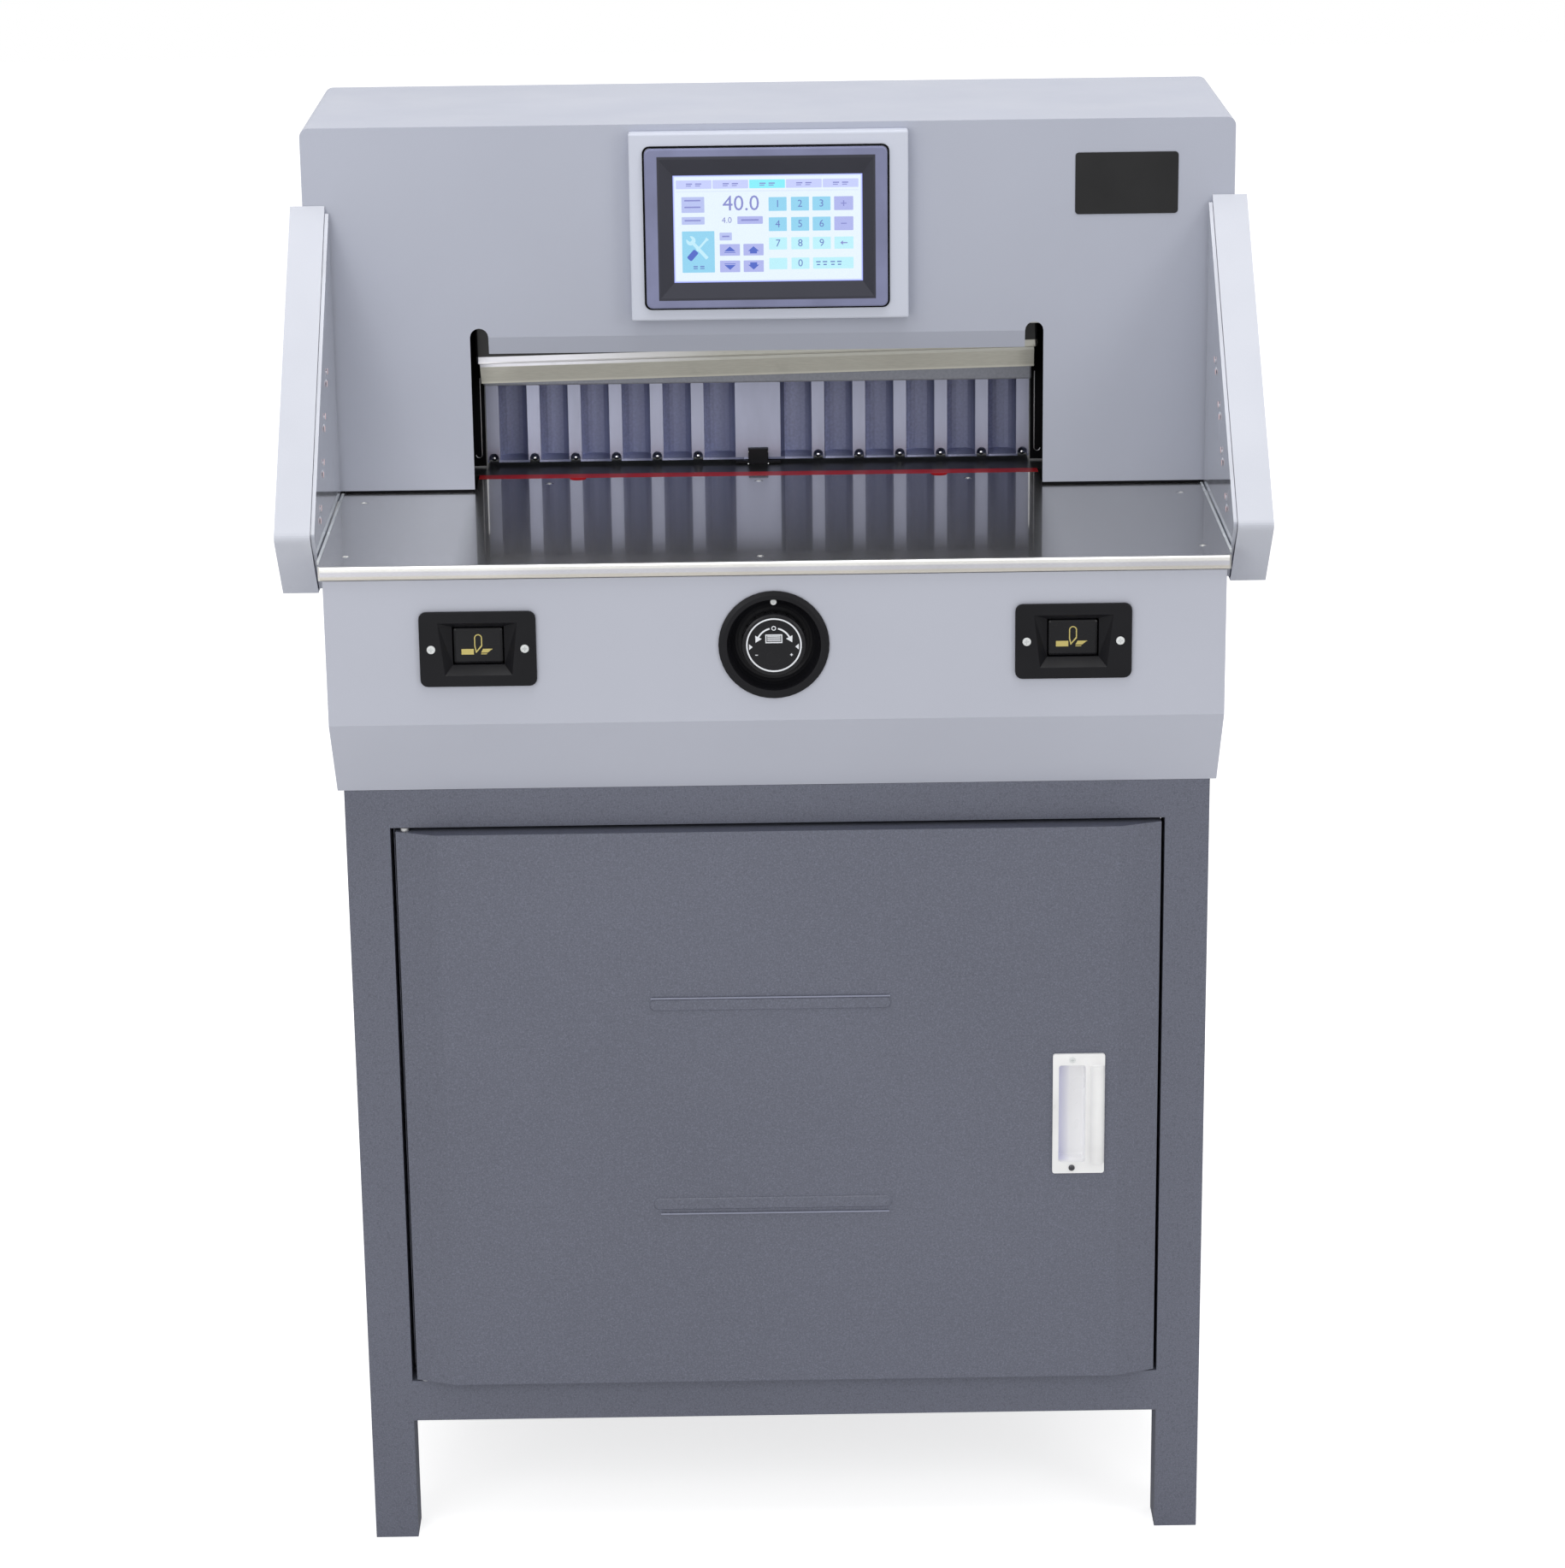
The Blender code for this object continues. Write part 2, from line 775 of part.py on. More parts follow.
def make_hinge_pins():
    x, y = hinge_place
    washer = door_bottom_gap - 2 * gap
    lower = ((0, washer + hinge_pin_reach), (hinge_pin_radius, washer + hinge_pin_reach),
             (hinge_pin_radius, washer), (hinge_washer_radius, washer), (hinge_washer_radius, 0), (0, 0))
    pin = turned(lower, (x, y, bottom_rail_top + gap))
    keep(shaded(pin), "hinge_pin_lower", "bright_steel")
    washer = door_top_gap - 2 * gap
    upper = ((0, 0), (hinge_washer_radius, 0), (hinge_washer_radius, -washer), (hinge_pin_radius, -washer),
             (hinge_pin_radius, -washer - hinge_pin_reach), (0, -washer - hinge_pin_reach))
    pin = turned(upper, (x, y, rail_underside - gap))
    keep(shaded(pin), "hinge_pin_upper", "bright_steel")


def make_base():
    base = box((-stand_half + base_inset, apron_return + gap, base_bottom),
               (stand_half - base_inset, stand_back - base_inset, base_top))
    keep(base, "base_plate", "cast_grey")
    top = machine_height - sheet - gap
    outline = [
        (frame_foot_front, base_top + gap), (frame_foot_back, base_top + gap), (frame_foot_back, bed_top),
        (frame_back, bed_top),
    ]
    corner = (frame_back - frame_corner, top - frame_corner)
    outline += arc(corner, frame_corner, 0, quarter, 4)
    outline += [(frame_front, top), (frame_front, bed_top), (frame_foot_front, bed_top)]
    places = (("side_frame_left", frame_left - frame_thickness), ("side_frame_right", frame_right))
    for name, left in places:
        frame = extruded((outline,), left, left + frame_thickness, "X")
        keep(frame, name, "cast_grey")
    bed = box((frame_left + gap, bed_front, bed_bottom), (frame_right - gap, bed_back, bed_top))
    notch = box((rod_left - running_gap, rod_front - running_gap, bed_bottom - overrun),
                (frame_right + overrun, rod_front + rod_depth + running_gap, bed_top + overrun))
    keep(cut(bed, notch), "table_bed", "cast_grey")


def screw_places():
    across = table_half_width - side_screw_inset
    places = [(side * across, y) for y in side_screw_places for side in (-1, 1)]
    row = stick_front - screw_row_inset
    places += [(throat_offset + side * screw_row_pitch, row) for side in (-1, 0, 1)]
    places.append((throat_offset, front_screw_place))
    return places


def make_front_table():
    half, front, back = table_half_width, -front_reach + trim_depth + gap, table_back
    wing_left = frame_left - frame_thickness - gap
    wing_right = frame_right + frame_thickness + gap
    shoulder = frame_front - gap
    left = throat_left + tongue_gap
    right = throat_right - tongue_gap
    tip = stick_front - gap
    outline = (
        (-half, front), (half, front), (half, back), (wing_right, back), (wing_right, shoulder),
        (right, shoulder), (right, tip), (left, tip), (left, shoulder), (wing_left, shoulder),
        (wing_left, back), (-half, back),
    )
    table = extruded((outline,), table_underside, table_top, "Z")
    tools = []
    for x, y in screw_places():
        low = table_top - screw_depth
        tools.append(cylinder(screw_radius, low, table_top + overrun, (x, y, 0), steps=16))
    for side in (-1, 1):
        x = throat_offset + side * stick_notch_spread
        notch = rounded_rectangle((x - stick_notch_width / 2, tip - stick_notch_depth),
                                  (x + stick_notch_width / 2, tip + 2 * stick_notch_depth),
                                  stick_notch_width / 2 * stick_notch_round_share)
        tools.append(extruded((notch,), table_underside - overrun, table_top + overrun, "Z"))
    keep(cut(table, *tools), "front_table", "steel")
    stick = box((left, stick_front, bed_top + gap), (right, stick_back, table_top))
    keep(stick, "cutting_stick", "red_plastic")
    bottom = table_top - trim_height
    radius = trim_radius
    profile = [(front - gap, bottom), (front - gap, table_top)]
    profile += arc((-front_reach + radius, table_top - radius), radius, quarter, 2 * quarter, 4)
    profile += arc((-front_reach + radius, bottom + radius), radius, 2 * quarter, 3 * quarter, 4)
    trim = extruded((profile,), -trim_half_width, trim_half_width, "X")
    keep(shaded(trim), "table_edge_trim", "bright_steel")


def make_rear_table():
    left, right = frame_left + gap, frame_right - gap
    top = table_top - gap
    back = rear_reach - rear_wall_sheet - gap
    table = box((left, stick_back + gap, top - rear_table_thickness), (right, back, top))
    half = block_width / 2 + running_gap
    slot = box((throat_offset - half, block_front - running_gap, top - rear_table_thickness - overrun),
               (throat_offset + half, block_front + block_depth + gauge_travel + running_gap,
                top + overrun))
    keep(cut(table, slot), "rear_table", "steel")
    walls = box((frame_left - rear_wall_sheet, frame_foot_back + gap, rear_wall_bottom),
                (frame_right + rear_wall_sheet, rear_reach, rear_wall_top))
    folded_sheet(walls, rear_wall_sheet, ((0, 0, 1), (0, 0, -1), (0, -1, 0)))
    keep(walls, "rear_walls", "housing_grey")


def make_lower_covers():
    top = table_underside - gap
    outline = (
        (apron_front, top), (apron_front, apron_bend), (apron_bottom_front, base_bottom),
        (apron_return, base_bottom), (apron_return, top),
    )
    apron = extruded((outline,), -apron_half_width, apron_half_width, "X")
    folded_sheet(apron, sheet, ((0, 0, 1), (0, 1, 0)))
    tools = []
    for side in (-1, 1):
        half = button_body_half_width() + gap
        tall = button_body_half_height() + gap
        x = side * button_spread / 2
        tools.append(box((x - half, apron_front - overrun, control_height - tall),
                         (x + half, apron_front + sheet + overrun, control_height + tall)))
    bowl = dish_radius - dish_rim_width + gap
    place = (dish_offset, apron_front, control_height)
    tools.append(cylinder(bowl, -overrun, sheet + overrun, place, "Y", 48))
    keep(cut(apron, *tools), "apron_cover", "housing_grey")
    cover = box((-apron_half_width, apron_return + gap, base_bottom),
                (apron_half_width, lower_cover_back, top))
    folded_sheet(cover, sheet, ((0, 0, 1), (0, 0, -1), (0, -1, 0)))
    edge = rear_wall_sheet + back_window_clearance
    window = box((frame_left - edge, frame_foot_back, rear_wall_bottom - back_window_clearance),
                 (frame_right + edge, lower_cover_back + overrun, top + overrun))
    keep(cut(cover, window), "lower_cover", "housing_grey")


def cover_outline():
    half, radius = housing_half, cover_corner
    outline = [(-half, housing_bottom), (half, housing_bottom)]
    outline += arc((half - radius, machine_height - radius), radius, 0, quarter, 5)
    outline += arc((-half + radius, machine_height - radius), radius, quarter, 2 * quarter, 5)
    return outline


def make_front_cover():
    cover = extruded((cover_outline(),), 0, sheet, "Y")
    radius = slot_width / 2
    slot_centre = slot_top - radius
    mouth = [(throat_left, housing_bottom - overrun), (throat_right, housing_bottom - overrun)]
    mouth += arc((throat_right - radius, slot_centre), radius, 0, 2 * quarter, 8)
    mouth += [(throat_right - slot_width, lip_top), (throat_left + slot_width, lip_top)]
    mouth += arc((throat_left + radius, slot_centre), radius, 0, 2 * quarter, 8)
    opening = extruded((mouth,), -overrun, sheet + overrun, "Y")
    cut(cover, opening)
    lip = ((0, lip_top + sheet), (sheet, lip_top + sheet), (sheet, lip_top),
           (lip_slant + sheet, lip_bottom),
           (lip_slant, lip_bottom), (0, lip_top))
    band = extruded((lip,), throat_left + slot_width, throat_right - slot_width, "X")
    keep(joined(cover, band), "front_cover", "housing_grey")


def make_hood():
    hood = extruded((cover_outline(),), frame_front, housing_depth, "Y")
    folded_sheet(hood, sheet, ((0, 0, -1), (0, -1, 0)))
    edge = rear_wall_sheet + back_window_clearance
    low = (frame_left - edge, frame_foot_back - sheet - overrun, housing_bottom - overrun)
    high = (frame_right + edge, housing_depth + overrun, rear_wall_top + back_window_clearance)
    keep(shaded(cut(hood, box(low, high))), "hood", "housing_grey")


def guard_outline(inset):
    top = guard_top - inset * 2
    front = guard_bend_front + inset
    bend = (front, guard_bend_height)
    back = -gap - inset
    bottom = guard_bottom + inset
    foot = guard_bottom_front + inset
    upper = Vector((back - front, top - guard_bend_height)).normalized()
    lower = Vector((foot - front, bottom - guard_bend_height)).normalized()
    reach = guard_bend_radius
    outline = [(back, top)]
    start = Vector(bend) + upper * reach
    end = Vector(bend) + lower * reach
    steps = 5
    for step in range(steps + 1):
        share = step / steps
        point = start * (1 - share) ** 2 + Vector(bend) * 2 * share * (1 - share) + end * share ** 2
        outline.append((point.x, point.y))
    outline += [(foot, bottom), (back, bottom)]
    return outline


def make_guards():
    slope = Vector((guard_bend_front, guard_bend_height - guard_top)).normalized()
    for side, name in ((-1, "left"), (1, "right")):
        low, high = sorted((side * guard_inner, side * guard_outer))
        guard = extruded((guard_outline(0),), low, high, "X")
        folded_sheet(guard, guard_sheet, ((-side, 0, 0),))
        keep(guard, "guard_" + name, "guard_grey")
        near = side * (guard_inner - gap)
        far = side * (guard_inner - gap - window_thickness)
        low, high = sorted((near, far))
        pane = extruded((guard_outline(window_edge),), low, high, "X")
        lenses = []
        for y, z in lens_places:
            for shift in (-lens_spread, lens_spread):
                place = (far, y + slope.x * shift, z + slope.y * shift)
                low, high = sorted((-side * lens_rise, side * window_thickness / 2))
                lenses.append(cylinder(lens_radius, low, high, place, "X", 12))
        keep(joined(pane, *lenses), "guard_window_" + name, "dark_glass")


def make_screen():
    half = screen_frame_width / 2
    top = screen_frame_bottom + screen_frame_height
    back = -gap
    frame = bevelled(box((-half, back - screen_frame_depth, screen_frame_bottom), (half, back, top)),
                     screen_frame_radius)
    body_half = bezel_width / 2 - bezel_body_inset
    body_tall = bezel_height / 2 - bezel_body_inset
    front = back - screen_frame_depth
    hole = box((bezel_offset - body_half - gap, front - overrun, bezel_centre - body_tall - gap),
               (bezel_offset + body_half + gap, back + overrun, bezel_centre + body_tall + gap))
    keep(cut(frame, hole), "screen_frame", "housing_grey")
    face = front - gap - bezel_rise
    flange = rounded_rectangle((bezel_offset - bezel_width / 2, bezel_centre - bezel_height / 2),
                               (bezel_offset + bezel_width / 2, bezel_centre + bezel_height / 2),
                               bezel_corner)
    bezel = bevelled(extruded((flange,), face, front - gap, "Y"), bezel_edge_round)
    body = box((bezel_offset - body_half, front - bezel_rise / 2, bezel_centre - body_tall),
               (bezel_offset + body_half, back - gap, bezel_centre + body_tall))
    joined(bezel, body)
    depth = bezel_slope_depth
    builder = bmesh.new()
    bmesh.ops.create_cube(builder, size=1)
    for corner in builder.verts:
        at_front = corner.co.y < 0
        width = bezel_mouth_width if at_front else display_width
        height = bezel_mouth_height if at_front else display_height
        x = bezel_offset if at_front else display_offset
        z = bezel_centre if at_front else display_centre
        corner.co.x = x + math.copysign(width / 2, corner.co.x)
        corner.co.z = z + math.copysign(height / 2, corner.co.z)
        corner.co.y = face - gap if at_front else face + depth
    funnel = new_object(builder)
    half = display_width / 2
    tall = display_height / 2
    window = box((display_offset - half, face + depth - gap, display_centre - tall),
                 (display_offset + half, face + depth + overrun, display_centre + tall))
    joined(funnel, window)
    glass_front = face + depth + glass_edge
    rim = glass_overlap
    pocket = box((display_offset - half - rim - gap, glass_front - gap, display_centre - tall - rim - gap),
                 (display_offset + half + rim + gap, back + overrun, display_centre + tall + rim + gap))
    keep(cut(bezel, funnel, pocket), "screen_bezel", "dark_grey_plastic")
    glass = box((display_offset - half - rim, glass_front, display_centre - tall - rim),
                (display_offset + half + rim, glass_front + glass_thickness, display_centre + tall + rim))
    keep(glass, "touch_screen", "screen_glass")


def button_body_half_width():
    return button_mouth_top_width / 2 + button_wall


def button_body_half_height():
    return button_mouth_height / 2 + button_wall


def make_cut_buttons():
    face = apron_front - gap - button_flange
    half = button_housing_width / 2
    tall = button_housing_height / 2
    button_face = face + button_recess
    back = button_face + button_length + button_travel + running_gap + button_wall
    for side, name in ((-1, "left"), (1, "right")):
        x = side * button_spread / 2
        flange = rounded_rectangle((x - half, control_height - tall), (x + half, control_height + tall),
                                   button_housing_corner)
        housing = bevelled(extruded((flange,), face, apron_front - gap, "Y"), button_flange / 4)
        body = box((x - button_body_half_width(), face + button_flange / 2,
                    control_height - button_body_half_height()),
                   (x + button_body_half_width(), back, control_height + button_body_half_height()))
        joined(housing, body)
        width = button_width / 2 + running_gap
        height = button_height / 2 + running_gap
        builder = bmesh.new()
        bmesh.ops.create_cube(builder, size=1)
        for corner in builder.verts:
            at_front = corner.co.y < 0
            above = corner.co.z > 0
            if at_front:
                reach = button_mouth_top_width / 2 if above else button_mouth_bottom_width / 2
                level = control_height + math.copysign(button_mouth_height / 2, corner.co.z)
            else:
                reach = width
                level = button_centre + math.copysign(height, corner.co.z)
            corner.co.x = x + math.copysign(reach, corner.co.x)
            corner.co.z = level
            corner.co.y = face - gap if at_front else button_face
        mouth = new_object(builder)
        pocket = box((x - width, button_face - gap, button_centre - height),
                     (x + width, back - button_wall, button_centre + height))
        screws = []
        for way in (-1, 1):
            place = (x + way * button_screw_spread, face, control_height)
            screws.append(cylinder(button_screw_radius, -overrun, button_screw_pocket, place, "Y", 16))
        keep(cut(housing, joined(mouth, pocket), *screws), "button_housing_" + name, "black_plastic")
        cap = box((x - button_width / 2, button_face, button_centre - button_height / 2),
                  (x + button_width / 2, button_face + button_length, button_centre + button_height / 2))
        keep(bevelled(cap, button_round), "cut_button_" + name, "black_plastic")


def make_turning_knob():
    place = (dish_offset, apron_front, control_height)
    back = dish_depth - dish_flange
    rim = dish_radius - dish_rim_width
    wall = dish_wall
    floor = dish_floor_radius
    hub = knob_shaft_radius + running_gap
    top = -gap
    outside = [
        (hub, back), (rim, back), (rim, top), (dish_radius, top),
        (dish_radius, top - dish_flange / 2), (rim + wall / 2, top - dish_flange),
        (rim - wall, top - dish_flange),
    ]
    for step in range(6):
        angle = quarter * (step + 1) / 6
        outside.append((floor + (rim - wall - floor) * math.cos(angle),
                        top - dish_flange + (back - wall - top + dish_flange) * math.sin(angle)))
    outside.append((hub, back - wall))
    dish = turned(outside, place, "Y", 48, closed=True)
    screw_hole = cylinder(dish_screw_radius, -dish_depth, back / 2,
                          (dish_offset, apron_front, control_height + dish_screw_drop - dish_rim_width),
                          "Y", 12)
    keep(shaded(cut(dish, screw_hole)), "handwheel_dish", "black_plastic")
    face = top - dish_flange + gap
    round_edge = knob_round
    corner = round_edge * knob_bevel_share
    ring = knob_ring_radius
    deep = face + knob_ring_depth
    shaft_end = back + gap + encoder_shaft_reach
    profile = (
        (0, shaft_end), (knob_shaft_radius, shaft_end), (knob_shaft_radius, face + knob_length),
        (knob_radius, face + knob_length), (knob_radius, face + round_edge),
        (knob_radius - corner, face + corner), (knob_radius - round_edge, face),
        (ring, face), (ring - knob_ring_depth, deep), (0, deep),
    )
    knob = turned(profile, place, "Y", 36)
    flutes = []
    for step in range(knob_flute_count):
        angle = 4 * quarter * (step + 1 / 4) / knob_flute_count
        spot = (dish_offset + knob_radius * math.cos(angle), apron_front,
                control_height + knob_radius * math.sin(angle))
        end = face + knob_length + overrun
        flutes.append(cylinder(knob_flute_radius, face + round_edge, end, spot, "Y", 6))
    cut(knob, *flutes)
    keep(shaded(pivot_at(knob, place)), "handwheel_knob", "black_plastic")
    encoder = cylinder(encoder_radius, back + gap, back + gap + encoder_length, place, "Y", 32)
    bore = cylinder(knob_shaft_radius + gap, back - overrun, shaft_end + gap, place, "Y", 24)
    keep(shaded(cut(encoder, bore)), "handwheel_encoder", "dark_grey_plastic")


def make_knife():
    pivot = (pivot_right, carrier_front, pivot_height)
    left = throat_left + carrier_left_inset - pivot_right
    right = throat_right - carrier_right_inset - pivot_right
    front = 0
    blade_front = cut_plane - blade_thickness - carrier_front
    blade_back = cut_plane - carrier_front
    block = box((left, front, -carrier_drop), (right, blade_front - gap, carrier_top))
    carrier = bevelled(block, carrier_round)
    bore = cylinder(pivot_pin_radius + gap, -overrun, blade_front + overrun, (0, 0, 0), "Y")
    carrier = cut(carrier, bore)
    ends = (left + (right - left) * knife_bolt_end_share, -(pivot_inset + 2 * pivot_pin_radius))
    bolts = []
    for step in range(knife_bolt_count):
        x = ends[0] + (ends[1] - ends[0]) * step / (knife_bolt_count - 1)
        place = (x, 0, 0)
        bolts.append(cylinder(knife_bolt_head_radius, -knife_bolt_head, knife_bolt_head, place, "Y", 16))
    joined(carrier, *bolts)
    edge = -edge_drop
    profile = (
        (blade_back, edge), (blade_back, edge + blade_height), (blade_front, edge + blade_height),
        (blade_front, edge + blade_bevel), (blade_back - blade_land, edge),
    )
    blade = extruded((profile,), left + blade_end_gap, right - blade_end_gap, "X")
    tilted = bpy.data.objects.new("knife_pivot", None)
    bpy.context.scene.collection.objects.link(tilted)
    tilted.location = pivot
    tilted.rotation_euler = (0, -knife_tilt, 0)
    for obj, name, look in (
        (carrier, "knife_carrier", "cast_grey"), (blade, "knife_blade", "bright_steel"),
    ):
        keep(pivot_at(obj, (0, 0, 0)), name, look)
        obj.parent = tilted


def make_knife_drive():
    slot_half = crank_radius + crank_pin_radius + running_gap
    back = rod_front + rod_depth
    low = yoke_rest_height - yoke_slot_half - yoke_wall
    high = yoke_rest_height + yoke_slot_half + yoke_wall
    top = pivot_height + cheek_height / 2
    right = rod_right - rod_step
    left = rod_left + rod_step
    outline = arc((crank_place - slot_half - yoke_wall / 2, low + yoke_wall / 2), yoke_wall / 2,
                  3 * quarter, 2 * quarter, 4)
    outline += [(crank_place - slot_half - yoke_wall, high), (left, high), (left, pivot_height),
                (right, pivot_height), (right, low)]
    slot = rounded_rectangle((crank_place - slot_half, yoke_rest_height - yoke_slot_half),
                             (crank_place + slot_half, yoke_rest_height + yoke_slot_half),
                             crank_pin_radius / 2)
    rod = extruded((outline, slot), rod_front, back, "Y")
    cheek_back = carrier_front - gap
    cheek_front = cheek_back - cheek_thickness
    head_outline = (
        (rod_right - cheek_reach, cheek_front), (rod_right, cheek_front), (rod_right, back + rod_step),
        (rod_left, back + rod_step), (rod_left, cheek_back), (rod_right - cheek_reach, cheek_back),
    )
    head = extruded((head_outline,), pivot_height - cheek_height / 2, top, "Z")
    pin_end = cut_plane - blade_thickness - carrier_front - gap
    pin_place = (pivot_right, carrier_front, pivot_height)
    pin = cylinder(pivot_pin_radius, cheek_thickness / -2, pin_end, pin_place, "Y")
    joined(rod, head, pin)
    keep(shaded(rod), "knife_pull_rod", "steel")
    place = (crank_place, back, crank_centre_height)
    disc_front = running_gap + gap
    disc_back = disc_front + crank_disc_thickness
    radius = crank_radius + crank_pin_radius + crank_pin_edge
    hub_end = disc_back + running_gap
    hub = crank_pin_radius * 2
    profile = ((0, hub_end), (hub, hub_end), (hub, disc_back), (radius, disc_back), (radius, disc_front),
               (0, disc_front))
    disc = turned(profile, place, "Y", 48)
    pin = cylinder(crank_pin_radius, -rod_depth, disc_front + crank_disc_thickness / 2,
                   (crank_place, back, crank_centre_height + crank_radius), "Y")
    keep(shaded(pivot_at(joined(disc, pin), place)), "crank_disc", "steel")
    gear_front = back + hub_end + gap
    left = crank_place - gearbox_width / 2
    gearbox = bevelled(box((left, gear_front, base_top + gap),
                           (left + gearbox_width, gear_front + gearbox_depth, gearbox_top)), gearbox_round)
    keep(gearbox, "knife_gearbox", "cast_grey")
    middle = gear_front + gearbox_depth / 2
    motor_profile = (
        (0, 0), (knife_motor_radius, 0), (knife_motor_radius, knife_motor_cap - knife_motor_length),
        (knife_motor_radius - motor_round, -knife_motor_length), (0, -knife_motor_length),
    )
    motor = turned(motor_profile, (left - gap, middle, knife_motor_height), "X", 32)
    keep(shaded(motor), "knife_motor", "dark_grey_plastic")


def make_clamp():
    left = throat_left + clamp_end_inset
    right = throat_right - clamp_end_inset
    beam = box((left, clamp_front, clamp_rest_bottom), (right, clamp_front + clamp_depth, clamp_top))
    clamp = bevelled(beam, clamp_round)
    spindle_low = clamp_rest_bottom + spindle_end_gap
    bores = []
    sides = ((-1, "left"), (1, "right"))
    for side, name in sides:
        x = throat_offset + side * spindle_spread / 2
        bores.append(cylinder(spindle_radius + gap, spindle_low - gap, clamp_top + overrun,
                              (x, clamp_middle, 0)))
        profile = (
            (0, wheel_bottom + wheel_height), (wheel_radius, wheel_bottom + wheel_height),
            (wheel_radius, wheel_bottom), (spindle_radius, wheel_bottom), (spindle_radius, spindle_low),
            (0, spindle_low),
        )
        spindle = turned(profile, (x, clamp_middle, 0))
        place = (x, clamp_middle, wheel_bottom)
        keep(shaded(pivot_at(spindle, place)), "clamp_spindle_" + name, "steel")
    keep(cut(clamp, *bores), "clamp_beam", "cast_grey")
    bridge = box((frame_left + gap, bridge_front, bridge_bottom),
                 (frame_right - gap, bridge_back, bridge_top))
    holes = [cylinder(spindle_radius + gap, bridge_bottom - overrun, bridge_top + overrun,
                      (throat_offset + side * spindle_spread / 2, clamp_middle, 0)) for side, name in sides]
    holes.append(cylinder(wheel_axle_radius + gap, bridge_bottom - overrun, bridge_top + overrun,
                          (throat_offset, clamp_middle, 0), steps=16))
    keep(cut(bridge, *holes), "bridge", "cast_grey")
    profile = (
        (0, wheel_bottom + wheel_height), (wheel_radius, wheel_bottom + wheel_height),
        (wheel_radius, wheel_bottom), (wheel_axle_radius, wheel_bottom), (wheel_axle_radius, bridge_bottom),
        (0, bridge_bottom),
    )
    wheel = turned(profile, (throat_offset, clamp_middle, 0))
    keep(shaded(pivot_at(wheel, (throat_offset, clamp_middle, wheel_bottom))), "clamp_drive_wheel", "steel")
    motor = cylinder(clamp_motor_radius, bridge_bottom - gap - clamp_motor_length, bridge_bottom - gap,
                     (throat_offset, clamp_middle, 0))
    keep(motor, "clamp_motor", "dark_grey_plastic")
    belts = []
    for radius in (wheel_radius + gap + belt_thickness, wheel_radius + gap):
        half = spindle_spread / 2
        belts.append(arc((throat_offset + half, clamp_middle), radius, -quarter, quarter, 12)
                     + arc((throat_offset - half, clamp_middle), radius, quarter, 3 * quarter, 12))
    middle = wheel_bottom + wheel_height / 2
    belt = extruded(belts, middle - belt_height / 2, middle + belt_height / 2, "Z")
    keep(shaded(belt), "clamp_belt", "belt_rubber")


def rib_places():
    return [side * (gauge_first_rib + step * gauge_rib_pitch)
            for step in range(gauge_rib_count) for side in (-1, 1)]


# The comb of ribs with a deep round-cornered pocket between each two of them, closed by a thin sole
def make_back_gauge():
    half = gauge_first_rib + (gauge_rib_count - 1) * gauge_rib_pitch + gauge_rib_width / 2
    face = gauge_face
    back = face + gauge_depth
    outline = [(throat_offset - half, back), (throat_offset - half, face)]
    ribs = sorted(rib_places())
    flats = [(x - gauge_rib_width / 2, x + gauge_rib_width / 2) for x in ribs]
    flats.insert(gauge_rib_count, (-gauge_flat_width / 2, gauge_flat_width / 2))
    turn = face + groove_depth - groove_corner
    for before, after in zip(flats, flats[1:]):
        left, right = throat_offset + before[1], throat_offset + after[0]
        outline.append((left, face))
        outline += arc((left + groove_corner, turn), groove_corner, 2 * quarter, quarter, groove_steps)
        outline += arc((right - groove_corner, turn), groove_corner, quarter, 0, groove_steps)
        outline.append((right, face))
    outline += [(throat_offset + half, face), (throat_offset + half, back)]
    gauge = extruded((outline,), gauge_foot, gauge_foot + gauge_height, "Z")
    sole = box((throat_offset - half, face, gauge_foot),
               (throat_offset + half, back, gauge_foot + gauge_sole))
    joined(gauge, sole)
    tools = []
    balls = []
    radius = arch_width / 2
    for place in ribs:
        x = throat_offset + place
        arch = [(x - radius, gauge_foot - overrun), (x + radius, gauge_foot - overrun)]
        arch += arc((x, gauge_foot + arch_height - radius), radius, 0, 2 * quarter, 8)
        tools.append(extruded((arch,), face - overrun, face + arch_depth, "Y"))
        reach = ball_stem_radius
        profile = [(0, arch_depth + gap), (reach, arch_depth + gap)]
        start = math.asin(reach / ball_radius)
        for step in range(ball_steps + 1):
            angle = start + (2 * quarter - start) * step / ball_steps
            profile.append((ball_radius * math.sin(angle),
                            arch_depth - ball_stem_length + ball_radius * math.cos(angle)))
        profile[-1] = (0, profile[-1][1])
        balls.append(turned(profile, (x, face, gauge_foot + ball_radius), "Y", 10))
    column = box((throat_offset - block_width / 2 - gap, face - overrun, gauge_foot - overrun),
                 (throat_offset + block_width / 2 + gap, block_front + block_depth + gap, block_top + gap))
    keep(shaded(joined(cut(gauge, *tools, column), *balls)), "back_gauge", "cast_grey")


